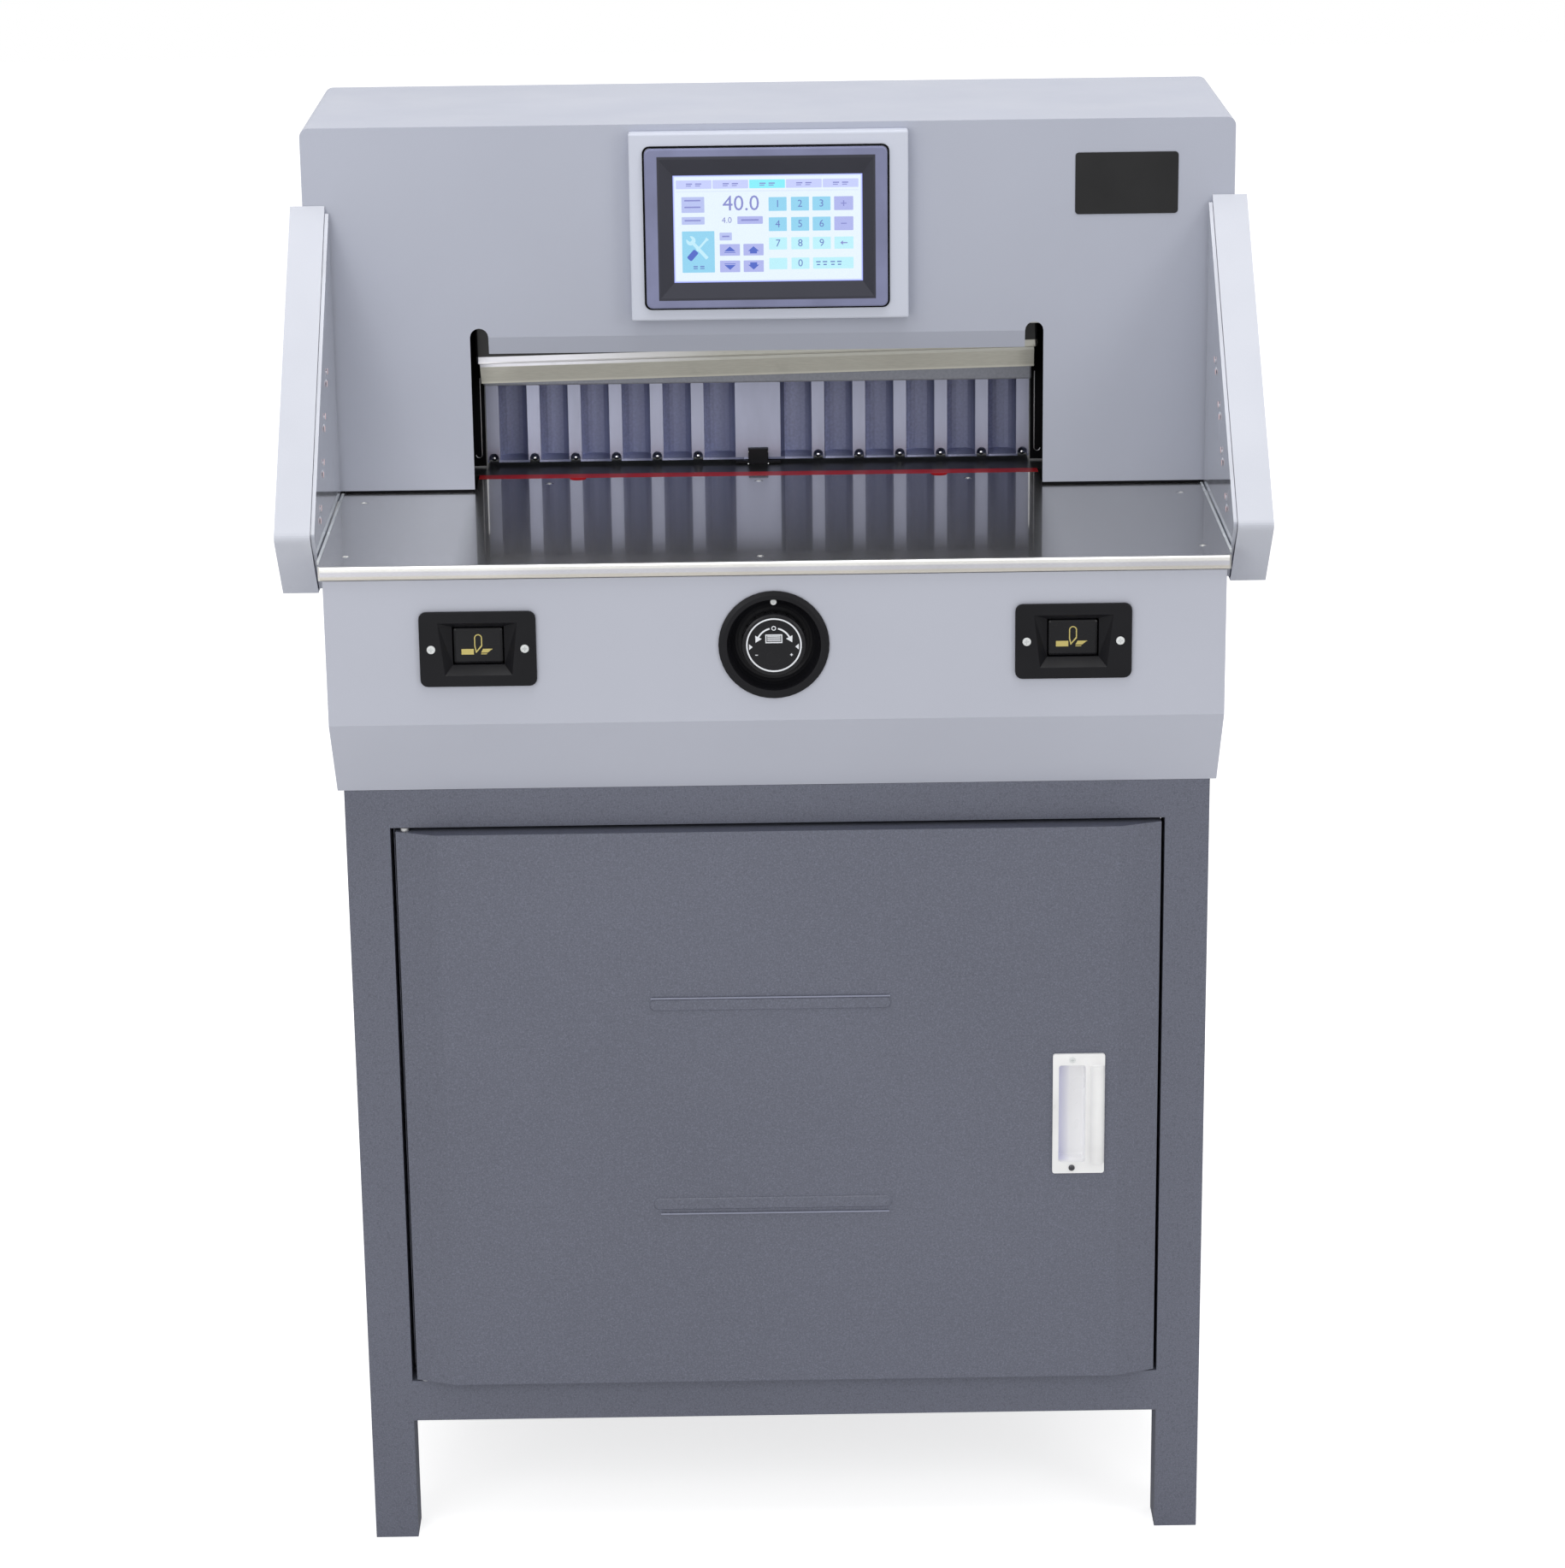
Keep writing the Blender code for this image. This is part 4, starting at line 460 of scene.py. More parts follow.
looks = {
    "housingPaint": powderCoat("housingPaint", (0.455, 0.478, 0.565)),
    "panelPaint": powderCoat("panelPaint", (0.63, 0.66, 0.76)),
    "apronPaint": powderCoat("apronPaint", (0.500, 0.518, 0.595)),
    "guardPaint": powderCoat("guardPaint", (0.56, 0.58, 0.65), 0.38),
    "standPaint": powderCoat("standPaint", (0.120, 0.128, 0.168), 0.50, 0.05, 520, 0.30, 0.30),
    "tableSteel": polishedTop("tableSteel", (0.80, 0.79, 0.76), 1.5, (-246, 222)),
    "rearPlate": powderCoat("rearPlate", (0.016, 0.017, 0.018), 0.34, 0.06, sheen=0.3),
    "trimSteel": bandedSteel("trimSteel", ((870.0, (0.68, 0.65, 0.59)), (873.4, (0.68, 0.68, 0.73)),
                                           (877.2, (0.96, 0.95, 0.92))), 0.32, (1, 10, 10)),
    "knifeSteel": knifeFinish("knifeSteel", (0.50, 0.496, 0.455), (0.86, 0.86, 0.92), 983.2),
    "turnedSteel": groundSteel("turnedSteel", (0.55, 0.55, 0.55), 0.24, (12, 12, 1)),
    "clampCasting": machinedCasting("clampCasting", (0.25, 0.26, 0.30), 0.4, 0.5),
    "carrierSteel": knifeFinish("carrierSteel", (0.50, 0.496, 0.455), (0.86, 0.86, 0.92), 983.2, 996.9),
    "framePaint": powderCoat("framePaint", (0.008, 0.008, 0.010), 0.75, sheen=0.08),
    "frameCasting": machinedCasting("frameCasting", (0.16, 0.165, 0.18), 0.5, 0.3),
    "gaugeCasting": gaugeFinish("gaugeCasting", (0.46, 0.48, 0.62), (0.66, 0.70, 0.96),
                                (0.22, 0.24, 0.38), -76.0, 885.9, (11.8, 35.6)),
    "blackMoulding": mouldedPlastic("blackMoulding", (0.008, 0.008, 0.010), 0.38, sheen=0.18),
    "glossBlack": mouldedPlastic("glossBlack", (0.010, 0.010, 0.012), 0.25, 900, 0.04, sheen=0.25),
    "bezelMoulding": surroundPlastic("bezelMoulding", (0.25, 0.265, 0.43), (0.030, 0.031, 0.046),
                                     (-92.4, 88.2, 1047.6, 1167.6)),
    "cupMoulding": cupPlastic("cupMoulding", (0.88, 0.88, 0.88), (0.72, 0.72, 0.88), (1.0, 1.0, 1.0),
                              -386.5, 233.5),
    "redStick": mouldedPlastic("redStick", (0.56, 0.010, 0.016), 0.42, sheen=0.3),
    "glossyPanel": mouldedPlastic("glossyPanel", (0.44, 0.46, 0.53), 0.10, 600, 0.02, 0.6),
    "motorPaint": powderCoat("motorPaint", (0.06, 0.06, 0.065), 0.5),
    "beltRubber": mouldedPlastic("beltRubber", (0.012, 0.012, 0.012), 0.7),
    "screenGlow": glowing("screenGlow", (0.80, 0.90, 1.0), 1.0, edges=(-78.0, 76.1, 1063.2, 1149.7)),
}

# which finish each carried-over node wears
nodeLooks = {
    "housingPaint": ("front_cover", "hood"),
    "panelPaint": ("screen_frame",),
    "apronPaint": ("apron_cover", "lower_cover", "rear_walls"),
    "guardPaint": ("guard_left", "guard_right"),
    "standPaint": ("stand_frame", "cabinet_shell", "cabinet_floor", "cabinet_door"),
    "tableSteel": ("front_table",),
    "rearPlate": ("rear_table",),
    "trimSteel": ("table_edge_trim",),
    "knifeSteel": ("knife_blade",),
    "turnedSteel": ("hinge_pin_lower", "hinge_pin_upper", "lead_screw", "guide_rod_left",
                    "guide_rod_right", "crank_disc", "knife_pull_rod", "clamp_spindle_left",
                    "clamp_spindle_right", "clamp_drive_wheel"),
    "carrierSteel": ("knife_carrier",),
    "clampCasting": ("clamp_beam",),
    "framePaint": ("side_frame_left", "side_frame_right"),
    "frameCasting": ("table_bed", "bridge", "base_plate",
                     "knife_gearbox", "gauge_carriage", "lead_screw_bearer", "control_box"),
    "gaugeCasting": ("back_gauge",),
    "blackMoulding": ("button_housing_left", "button_housing_right", "handwheel_dish", "gauge_block",
                      "power_inlet"),
    "glossBlack": ("handwheel_encoder", "cut_button_left", "cut_button_right", "handwheel_knob"),
    "bezelMoulding": ("screen_bezel",),
    "cupMoulding": ("door_handle",),
    "redStick": ("cutting_stick",),
    "glossyPanel": ("guard_window_left", "guard_window_right"),
    "motorPaint": ("knife_motor", "clamp_motor", "gauge_motor"),
    "beltRubber": ("clamp_belt",),
    "screenGlow": ("touch_screen",),
}

for lookName, nodeNames in nodeLooks.items():
    for nodeName in nodeNames:
        nodes[nodeName].data.materials.clear()
        nodes[nodeName].data.materials.append(looks[lookName])
print("finishes on", sum(len(names) for names in nodeLooks.values()), "nodes")


# shapes shared by the added pieces
def tint(red, green, blue):
    return tuple((part / 255 / 12.92) if part < 11 else ((part / 255 + 0.055) / 1.055) ** 2.4
                 for part in (red, green, blue))


def addPiece(name, mesh, look, bodyName, smoothDegrees=35):
    piece = bpy.data.objects.new(name, mesh)
    mesh.name = name
    bpy.context.scene.collection.objects.link(piece)
    mesh.materials.clear()
    mesh.materials.append(looks[look])
    mesh.shade_smooth()
    mesh.set_sharp_from_angle(angle=math.radians(smoothDegrees))
    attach(piece, bodyName)


def meshOf(curve):
    holder = bpy.data.objects.new("holder", curve)
    bpy.context.scene.collection.objects.link(holder)
    bpy.context.view_layer.update()
    mesh = bpy.data.meshes.new_from_object(holder.evaluated_get(bpy.context.evaluated_depsgraph_get()))
    bpy.data.objects.remove(holder)
    bpy.data.curves.remove(curve)
    return mesh


def together(meshes):
    gathered = bmesh.new()
    for mesh in meshes:
        gathered.from_mesh(mesh)
        bpy.data.meshes.remove(mesh)
    bmesh.ops.remove_doubles(gathered, verts=gathered.verts, dist=1e-6)
    return meshFrom(gathered, "gathered")


# stands a drawing up so that it faces the front, with its back at the given place
def facingFront(mesh, place, thickness):
    lift = Matrix.Translation((place[0], place[1] - thickness * mm / 2, place[2]))
    mesh.transform(lift @ Matrix.Rotation(math.radians(90), 4, "X"))
    return mesh


def flatShape(outlines, place, thickness, edgeRound=0.0):
    curve = bpy.data.curves.new("flatShape", "CURVE")
    curve.dimensions = "2D"
    curve.fill_mode = "BOTH"
    curve.extrude = (thickness / 2 - edgeRound) * mm
    curve.bevel_depth = edgeRound * mm
    curve.bevel_resolution = 2
    curve.offset = -edgeRound * mm
    for outline in outlines:
        spline = curve.splines.new("POLY")
        spline.points.add(len(outline) - 1)
        for point, (across, up) in zip(spline.points, outline):
            point.co = (across * mm, up * mm, 0, 1)
        spline.use_cyclic_u = True
    return facingFront(meshOf(curve), place, thickness)


def lettering(text, size, place, thickness):
    curve = bpy.data.curves.new("lettering", "FONT")
    curve.body = text
    curve.size = size * mm
    curve.align_x = "CENTER"
    curve.align_y = "CENTER"
    curve.resolution_u = 3
    curve.extrude = thickness * mm / 2
    return facingFront(meshOf(curve), place, thickness)


def rectangle(left, bottom, right, top):
    return [(left, bottom), (right, bottom), (right, top), (left, top)]


def arcPoints(radius, startDegrees, endDegrees, steps, centre=(0, 0)):
    points = []
    for step in range(steps + 1):
        angle = math.radians(startDegrees + (endDegrees - startDegrees) * step / steps)
        points.append((centre[0] + radius * math.cos(angle), centre[1] + radius * math.sin(angle)))
    return points


def roundedBox(left, bottom, right, top, radius, steps=5):
    corners = ((right - radius, bottom + radius, -90), (right - radius, top - radius, 0),
               (left + radius, top - radius, 90), (left + radius, bottom + radius, 180))
    outline = []
    for across, up, start in corners:
        outline += arcPoints(radius, start, start + 90, steps, (across, up))
    return outline


def arcBand(inner, outer, startDegrees, endDegrees, steps):
    outward = arcPoints(outer, startDegrees, endDegrees, steps)
    return outward + arcPoints(inner, endDegrees, startDegrees, steps)


# a round piece from rings of (height, radius); a radius may be a function of the angle
def ringStack(rings, place, axis, steps=32):
    made = bmesh.new()
    loops = []
    for height, radius in rings:
        loop = []
        for step in range(steps):
            angle = 2 * math.pi * step / steps
            reach = radius(angle) if callable(radius) else radius
            corner = (reach * math.cos(angle) * mm, reach * math.sin(angle) * mm, height * mm)
            loop.append(made.verts.new(corner))
        loops.append(loop)
    for lower, upper in zip(loops, loops[1:]):
        for step in range(steps):
            after = (step + 1) % steps
            made.faces.new((lower[step], lower[after], upper[after], upper[step]))
    made.faces.new(list(reversed(loops[0])))
    made.faces.new(loops[-1])
    mesh = meshFrom(made, "ringStack")
    turn = Vector((0, 0, 1)).rotation_difference(Vector(axis)).to_matrix().to_4x4()
    mesh.transform(Matrix.Translation(place) @ turn)
    return mesh


# the driver recesses of the screws
def hexSocket(flatHalf):
    return lambda angle: flatHalf / math.cos((angle + math.pi / 6) % (math.pi / 3) - math.pi / 6)


def crossSocket(armLength, armHalf):
    def reach(angle):
        turned = abs((angle + math.pi / 4) % (math.pi / 2) - math.pi / 4)
        if math.tan(turned) * armLength <= armHalf:
            return armLength / math.cos(turned)
        return armHalf / math.sin(turned)
    return reach


# a screw whose seat is at height zero and whose head stands up from it
def screwHead(radius, height, socket, socketDepth, place, axis, domed=0.35):
    rings = ((0, radius), (height * (1 - domed), radius), (height * (1 - domed * 0.35), radius * 0.93),
             (height, radius * 0.80), (height, socket), (height - socketDepth, socket))
    return ringStack(rings, place, axis)


print("shape tools ready")

looks.update({
    "screwSteel": groundSteel("screwSteel", (0.93, 0.93, 0.92), 0.22, (1, 1, 1), 0.03, 0.04),
    "darkScrewSteel": groundSteel("darkScrewSteel", (0.10, 0.10, 0.11), 0.35, (1, 1, 1), 0.05, 0.08),
    "whiteScrew": mouldedPlastic("whiteScrew", (0.74, 0.76, 0.76), 0.35, 900, 0.05),
    "goldPrint": mouldedPlastic("goldPrint", (0.60, 0.50, 0.16), 0.35, 1500, 0.03),
    "whitePrint": mouldedPlastic("whitePrint", (0.78, 0.80, 0.84), 0.45, 1500, 0.03),
    "plateFilm": mouldedPlastic("plateFilm", (0.017, 0.017, 0.018), 0.36, 1300, 0.02, sheen=0.25),
    "foamBlack": mouldedPlastic("foamBlack", (0.006, 0.006, 0.007), 0.85, 500, 0.3, sheen=0.1),
    "dullWire": groundSteel("dullWire", (0.42, 0.42, 0.44), 0.4, (1, 1, 8)),
    "mattBlack": powderCoat("mattBlack", (0.006, 0.006, 0.007), 0.8, sheen=0.06),
    "clearEdge": mouldedPlastic("clearEdge", (0.62, 0.65, 0.68), 0.22, 900, 0.03),
    "polishedSteel": groundSteel("polishedSteel", (0.90, 0.90, 0.92), 0.12, (1, 1, 6), 0.03, 0.03),
    "zincScrew": groundSteel("zincScrew", (0.60, 0.60, 0.60), 0.32, (1, 1, 1), 0.05, 0.06),
    # a paler blue paint standing for the light caught on the door beads' upper edges, a painted highlight
    "beadHighlightPaint": powderCoat("beadHighlightPaint", (0.26, 0.275, 0.36), 0.32, 0.10, 520, 0.1),
    "lensGlass": mouldedPlastic("lensGlass", (0.90, 0.66, 0.68), 0.15, 800, 0.02),
})


# table screws sit just below the surface, in their pockets
tableScrews = {
    "headRadius": 3.25, "headHeight": 1.3, "domed": 0.15, "socketHalf": 1.35, "socketDepth": 0.9,
    "pocketDepth": 1.5,
    "places": ((-344, -209), (344, -209), (-344, -391), (344, -391),
               (-190.8, -146), (-11.5, -146), (167.8, -146), (-11.5, -405.5)),
}
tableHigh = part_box("front_table")[1]
words = tableScrews
for number, (across, deep) in enumerate(words["places"], 1):
    seat = (across * mm, deep * mm, tableHigh[2] - words["pocketDepth"] * mm)
    mesh = screwHead(words["headRadius"], words["headHeight"], hexSocket(words["socketHalf"]),
                     words["socketDepth"], seat, (0, 0, 1), words["domed"])
    addPiece("tableScrew" + str(number), mesh, "screwSteel", "machine")
print("table screws:", len(words["places"]))


# each cutting button: two white screws in its housing and a gold sign of a blade over a sheet
cutButtons = {
    "screwSpread": 37.5, "screwRadius": 3.5, "screwHeight": 1.05, "screwDomed": 0.6, "pocketDepth": 0.8,
    "crossLength": 1.9, "crossHalf": 0.42, "crossDepth": 0.7,
    "signThickness": 0.12, "bladeWidth": 6.4, "bladeTop": 9.6, "bladeTip": -6.2, "bladeShoulder": -0.4,
    "bladeGap": 0.5, "lineWidth": 0.9, "sheetLeft": -13.6, "sheetRight": 9.0, "sheetTop": -2.6,
    "sheetBottom": -7.2, "sheetSlant": 2.6, "sheetUnder": 1.6,
}


def bladeOutline(words, inset):
    half = words["bladeWidth"] / 2 - inset
    top = words["bladeTop"] - inset
    crown = arcPoints(half, 0, 180, 12, (0, top - half))
    return crown + [(-half, words["bladeShoulder"]), (-0.6 * half, words["bladeTip"] + inset * 2.2),
                    (half, words["bladeShoulder"] + inset)]


words = cutButtons
for side, bodyName in (("left", "left_button"), ("right", "right_button")):
    housingLow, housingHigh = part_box("button_housing_" + side)
    middle = (housingLow[0] + housingHigh[0]) / 2
    level = (housingLow[2] + housingHigh[2]) / 2
    for end, sign in (("Inner", 1), ("Outer", -1)):
        seat = (middle + sign * words["screwSpread"] * mm, housingLow[1] + words["pocketDepth"] * mm, level)
        mesh = screwHead(words["screwRadius"], words["screwHeight"],
                         crossSocket(words["crossLength"], words["crossHalf"]), words["crossDepth"],
                         seat, (0, -1, 0), words["screwDomed"])
        addPiece(side + "HousingScrew" + end, mesh, "whiteScrew", "machine")
    buttonLow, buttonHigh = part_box("cut_button_" + side)
    face = ((buttonLow[0] + buttonHigh[0]) / 2, buttonLow[1], (buttonLow[2] + buttonHigh[2]) / 2)
    blade = [bladeOutline(words, 0), bladeOutline(words, words["lineWidth"])]
    left, right = words["sheetLeft"], words["sheetRight"]
    top, bottom = words["sheetTop"], words["sheetBottom"]
    slant = words["sheetSlant"]
    half = words["bladeWidth"] / 2 + words["bladeGap"]
    line = words["lineWidth"]
    under = half - words["sheetUnder"]
    sheetLeft = [(left, bottom), (-half, bottom), (-half, top), (left, top)]
    sheetRight = [(under, bottom + line * 1.6), (right - slant * 0.6, bottom + line * 1.6),
                  (right + slant, top), (half, top)]
    sheetFoot = [(under, bottom), (right - slant, bottom), (right - slant * 0.7, bottom + line * 0.8),
                 (under, bottom + line * 0.8)]
    meshes = [flatShape(blade, face, words["signThickness"])]
    for outline in (sheetLeft, sheetRight, sheetFoot):
        meshes.append(flatShape([outline], face, words["signThickness"]))
    addPiece(side + "ButtonSign", together(meshes), "goldPrint", bodyName)
print("button screws and signs on")


# turning knob: printed ring, two turning arrows, a page, the less and more marks, and the screw of its dish
knobPrint = {
    "thickness": 0.12, "face": 0.6, "ringOuter": 22.3, "ringInner": 21.1, "ringThickness": 0.5,
    "arcOuter": 14.6, "arcInner": 13.3, "arcGap": 14, "arcEnd": 62, "arrowHalf": 2.9, "arrowLength": 5.0,
    "wingNotch": ((2.4, 0.9), (2.4, -3.9), (5.2, -1.5)),
    "markSize": 1.1, "markDrop": 8.2, "markInset": 0.6, "lessHalf": 0.3, "moreHalf": 0.35,
    "dotOuter": 1.9, "dotInner": 1.2, "dotRise": 13.9,
    "pageWidth": 13.6, "pageHeight": 7.2, "pageRise": 1.6, "pageLine": 0.9,
    "rows": 4, "rowFirst": 1.6, "rowPitch": 1.25, "rowInset": 1.5, "rowTall": 0.7,
    "dishScrewRadius": 2.5, "dishScrewHeight": 1.6, "dishScrewRise": 35, "dishScrewSeat": 4.2,
    "crossLength": 1.4, "crossHalf": 0.35, "crossDepth": 0.8,
}
words = knobPrint
knobLow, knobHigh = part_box("handwheel_knob")
knobCentre = ((knobLow[0] + knobHigh[0]) / 2, knobLow[1] + words["face"] * mm, (knobLow[2] + knobHigh[2]) / 2)


def onKnob(outlines, thickness=knobPrint["thickness"]):
    return flatShape(outlines, knobCentre, thickness)


ring = [arcPoints(words["ringOuter"], 0, 355, 71), arcPoints(words["ringInner"], 0, 355, 71)]
addPiece("knobRing", onKnob(ring, words["ringThickness"]), "whitePrint", "knob")
marks = []
for side in (-1, 1):
    start, end = 90 - side * words["arcGap"], 90 - side * words["arcEnd"]
    marks.append(onKnob([arcBand(words["arcInner"], words["arcOuter"], start, end, 14)]))
    reach = (words["arcOuter"] + words["arcInner"]) / 2
    tip = math.radians(end)
    along = Vector((math.sin(tip), -math.cos(tip))) * side
    outward = Vector((math.cos(tip), math.sin(tip)))
    base = Vector((reach * math.cos(tip), reach * math.sin(tip)))
    arrow = [base + outward * words["arrowHalf"], base - outward * words["arrowHalf"],
             base + along * words["arrowLength"]]
    marks.append(onKnob([[tuple(point) for point in arrow]]))
    marks.append(onKnob([[(side * (words["ringOuter"] - inward), up) for inward, up in words["wingNotch"]]]))
aside, size, low = words["arcOuter"] - words["markInset"], words["markSize"], -words["markDrop"]
flat, thin = words["lessHalf"], words["moreHalf"]
marks.append(onKnob([rectangle(-aside - size, low - flat, -aside + size, low + flat)]))
plus = [(-size, -thin), (-thin, -thin), (-thin, -size), (thin, -size), (thin, -thin), (size, -thin),
        (size, thin), (thin, thin), (thin, size), (-thin, size), (-thin, thin), (-size, thin)]
marks.append(onKnob([[(across + aside, up + low) for across, up in plus]]))
marks.append(onKnob([arcPoints(radius, 0, 350, 24, (0, words["dotRise"]))
                     for radius in (words["dotOuter"], words["dotInner"])]))
addPiece("knobArrows", together(marks), "whitePrint", "knob")
half, foot, line = words["pageWidth"] / 2, words["pageRise"], words["pageLine"]
top = foot + words["pageHeight"]
page = [onKnob([rectangle(-half, foot, half, top),
                rectangle(-half + line, foot + line, half - line, top - line)])]
rowHalf = half - words["rowInset"]
for row in range(words["rows"]):
    up = foot + words["rowFirst"] + row * words["rowPitch"]
    page.append(onKnob([rectangle(-rowHalf, up, rowHalf, up + words["rowTall"])]))
addPiece("knobPage", together(page), "whitePrint", "knob")
dishLow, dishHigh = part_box("handwheel_dish")
dishPlace = ((dishLow[0] + dishHigh[0]) / 2, dishLow[1] + words["dishScrewSeat"] * mm,
             (dishLow[2] + dishHigh[2]) / 2 + words["dishScrewRise"] * mm)
mesh = screwHead(words["dishScrewRadius"], words["dishScrewHeight"],
                 crossSocket(words["crossLength"], words["crossHalf"]), words["crossDepth"], dishPlace,
                 (0, -1, 0))
addPiece("dishScrew", mesh, "whiteScrew", "machine")
print("knob print on")


# the panel's picture: tabs along the top, the set size, a number pad and arrow keys, all laid in millimetres
screenPicture = {
    "left": -79.7, "bottom": 1061.5, "height": 89.9, "thickness": 0.06,
    "tabTop": 4.2, "tabHeight": 7.2, "tabWidth": 29.6,
    "tabLefts": (2.6, 33.1, 63.6, 94.1, 124.6), "activeTab": 2,
    "tabDashes": ((2.6, 5.2, 1.0), (4.4, 4.2, 0.7)), "dashStart": 8.4, "dashPitch": 7.6,
    "topLine": (2.6, 13.0, 151.6, 1.2),
    "keyLefts": (79.4, 98.0, 115.9), "keyWidth": 15.0, "signLeft": 133.9, "signWidth": 15.9,
    "keyTops": (19.0, 35.9, 52.8, 70.0), "keyHeights": (11.6, 11.6, 10.2, 9.6),
    "arrowLefts": (38.3, 58.0), "arrowWidth": 16.8, "arrowTops": (57.9, 71.8), "arrowHeight": 9.8,
    "minus": rectangle(-2.4, -0.45, 2.4, 0.45), "upright": rectangle(-0.45, -2.4, 0.45, 2.4),
    "backArrow": [(-3.0, 0), (-0.8, -1.9), (-0.8, -0.45), (3.0, -0.45), (3.0, 0.45), (-0.8, 0.45),
                  (-0.8, 1.9)],
    "headHalf": 4.6, "headFoot": -1.2, "headTop": 2.9, "arrowBars": ((4.6, -1.9, -2.4), (2.9, -1.0, -3.2)),
    "footDashes": (118.5, 124.0, 130.5, 136.0), "footRows": ((0.0, 73.2, 3.8), (0.6, 75.6, 2.8)),
    "footTall": 1.0,
    "noteLeft": 7.0, "noteWidth": 19.0, "notes": ((18.1, 13.2), (34.8, 6.4)), "noteSpace": 5,
    "lineLeft": 9.4, "lineWidth": 13.4, "lineTall": 1.2, "lineFirst": 2.4, "linePitch": 5.6,
    "unitTiles": (("keyLavender", 53.3, 34.8, 21.2, 6.4), ("tileLavender", 38.3, 48.2, 10.2, 6.6)),
    "unitDashes": ((56.4, 37.2, 14.6, 1.4), (40.4, 50.8, 6.0, 1.2)),
    "iconTile": (7.0, 46.8, 27.0, 34.8), "iconDrop": 2.6, "iconLean": 42,
    "iconDashes": ((5.6, 3.6, 1.0), (3.8, 3.6, 0.8)), "iconShifts": (-4.4, 1.2),
    "sizeText": "40.0", "sizeHeight": 18.0, "sizeCentre": (56.5, 24.3),
    "storedText": "4.0", "storedHeight": 7.0, "storedCentre": (44.5, 38.0),
    "digitHeight": 8.6,
}
screenLooks = {
    "keyCyan": (150, 212, 240), "keyPale": (190, 240, 250), "keyLavender": (178, 184, 236),
    "tabLavender": (200, 208, 252), "tabCyan": (140, 238, 250), "tileLavender": (186, 196, 240),
    "digitBlue": (112, 132, 196), "digitViolet": (140, 144, 206), "paleLine": (224, 236, 255),
    "iconBlue": (92, 112, 200), "iconPale": (196, 236, 250),
}
for lookName, colour in screenLooks.items():
    looks[lookName] = glowing(lookName, tint(*colour), 1.0)
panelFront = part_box("touch_screen")[0][1]


# a place on the panel, measured across from its left and down from its top; each layer stands prouder
def screenFace(across, down, layer):
    words = screenPicture
    up = words["bottom"] + words["height"] - down
    return (words["left"] + across) * mm, panelFront - layer * words["thickness"] * mm, up * mm


tiles = {lookName: [] for lookName in screenLooks}


def addShape(lookName, outlines, across, down, layer=1):
    tiles[lookName].append(flatShape(outlines, screenFace(across, down, layer), screenPicture["thickness"]))


def addTile(lookName, across, down, wide, tall, layer=0, corner=0.5):
    addShape(lookName, [roundedBox(0, -tall, wide, 0, corner, 3)], across, down, layer)


# a short dash that stands for words
def addDash(lookName, across, down, wide, tall):
    addTile(lookName, across, down, wide, tall, 1, 0.2)


def addText(lookName, text, size, across, down):
    tiles[lookName].append(lettering(text, size, screenFace(across, down, 1), screenPicture["thickness"]))


words = screenPicture
for number, left in enumerate(words["tabLefts"]):
    lookName = "tabCyan" if number == words["activeTab"] else "tabLavender"
    addTile(lookName, left, words["tabTop"], words["tabWidth"], words["tabHeight"])
    for dash in range(2):
        across = left + words["dashStart"] + dash * words["dashPitch"]
        for drop, wide, tall in words["tabDashes"]:
            addDash("digitViolet", across, words["tabTop"] + drop, wide, tall)
addTile("paleLine", *words["topLine"])
digits = iter("123456789")
for row, (down, tall) in enumerate(zip(words["keyTops"], words["keyHeights"])):
    keyLook = "keyCyan" if row < 2 else "keyPale"
    for column, left in enumerate(words["keyLefts"]):
        wide = words["keyWidth"]
        if row == 3 and column == 2:
            wide = words["signLeft"] + words["signWidth"] - left
        addTile(keyLook, left, down, wide, tall)
        caption = next(digits) if row < 3 else " 0 "[column]
        if caption.strip():
            addText("digitBlue", caption, words["digitHeight"], left + wide / 2, down + tall / 2)
    if row < 3:
        signLook = "keyLavender" if row < 2 else "keyPale"
        addTile(signLook, words["signLeft"], down, words["signWidth"], tall)
        middle = (words["signLeft"] + words["signWidth"] / 2, down + tall / 2)
        addShape("digitViolet", [words["backArrow"] if row == 2 else words["minus"]], *middle)
        if row == 0:
            addShape("digitViolet", [words["upright"]], *middle, 2)
for across in words["footDashes"]:
    for inset, down, wide in words["footRows"]:
        addDash("digitBlue", across + inset, down, wide, words["footTall"])
for down, tall in words["notes"]:
    addTile("tileLavender", words["noteLeft"], down, words["noteWidth"], tall)
    for line in range(int(tall // words["noteSpace"])):
        lineDown = down + words["lineFirst"] + line * words["linePitch"]
        addDash("digitViolet", words["lineLeft"], lineDown, words["lineWidth"], words["lineTall"])
for tile in words["unitTiles"]:
    addTile(*tile)
for dash in words["unitDashes"]:
    addDash("digitViolet", *dash)
addText("digitViolet", words["sizeText"], words["sizeHeight"], *words["sizeCentre"])
addText("digitViolet", words["storedText"], words["storedHeight"], *words["storedCentre"])
for row, down in enumerate(words["arrowTops"]):
    for column, left in enumerate(words["arrowLefts"]):
        addTile("keyLavender", left, down, words["arrowWidth"], words["arrowHeight"])
        point = 1 if row == 0 else -1
        middle = (left + words["arrowWidth"] / 2, down + words["arrowHeight"] / 2)
        foot = words["headFoot"] * point
        head = [(-words["headHalf"], foot), (words["headHalf"], foot), (0, words["headTop"] * point)]
        addShape("iconBlue", [head if point > 0 else head[::-1]], *middle)
        half, near, far = words["arrowBars"][column]
        low, high = sorted((near * point, far * point))
        addShape("iconBlue", [rectangle(-half, low, half, high)], *middle)

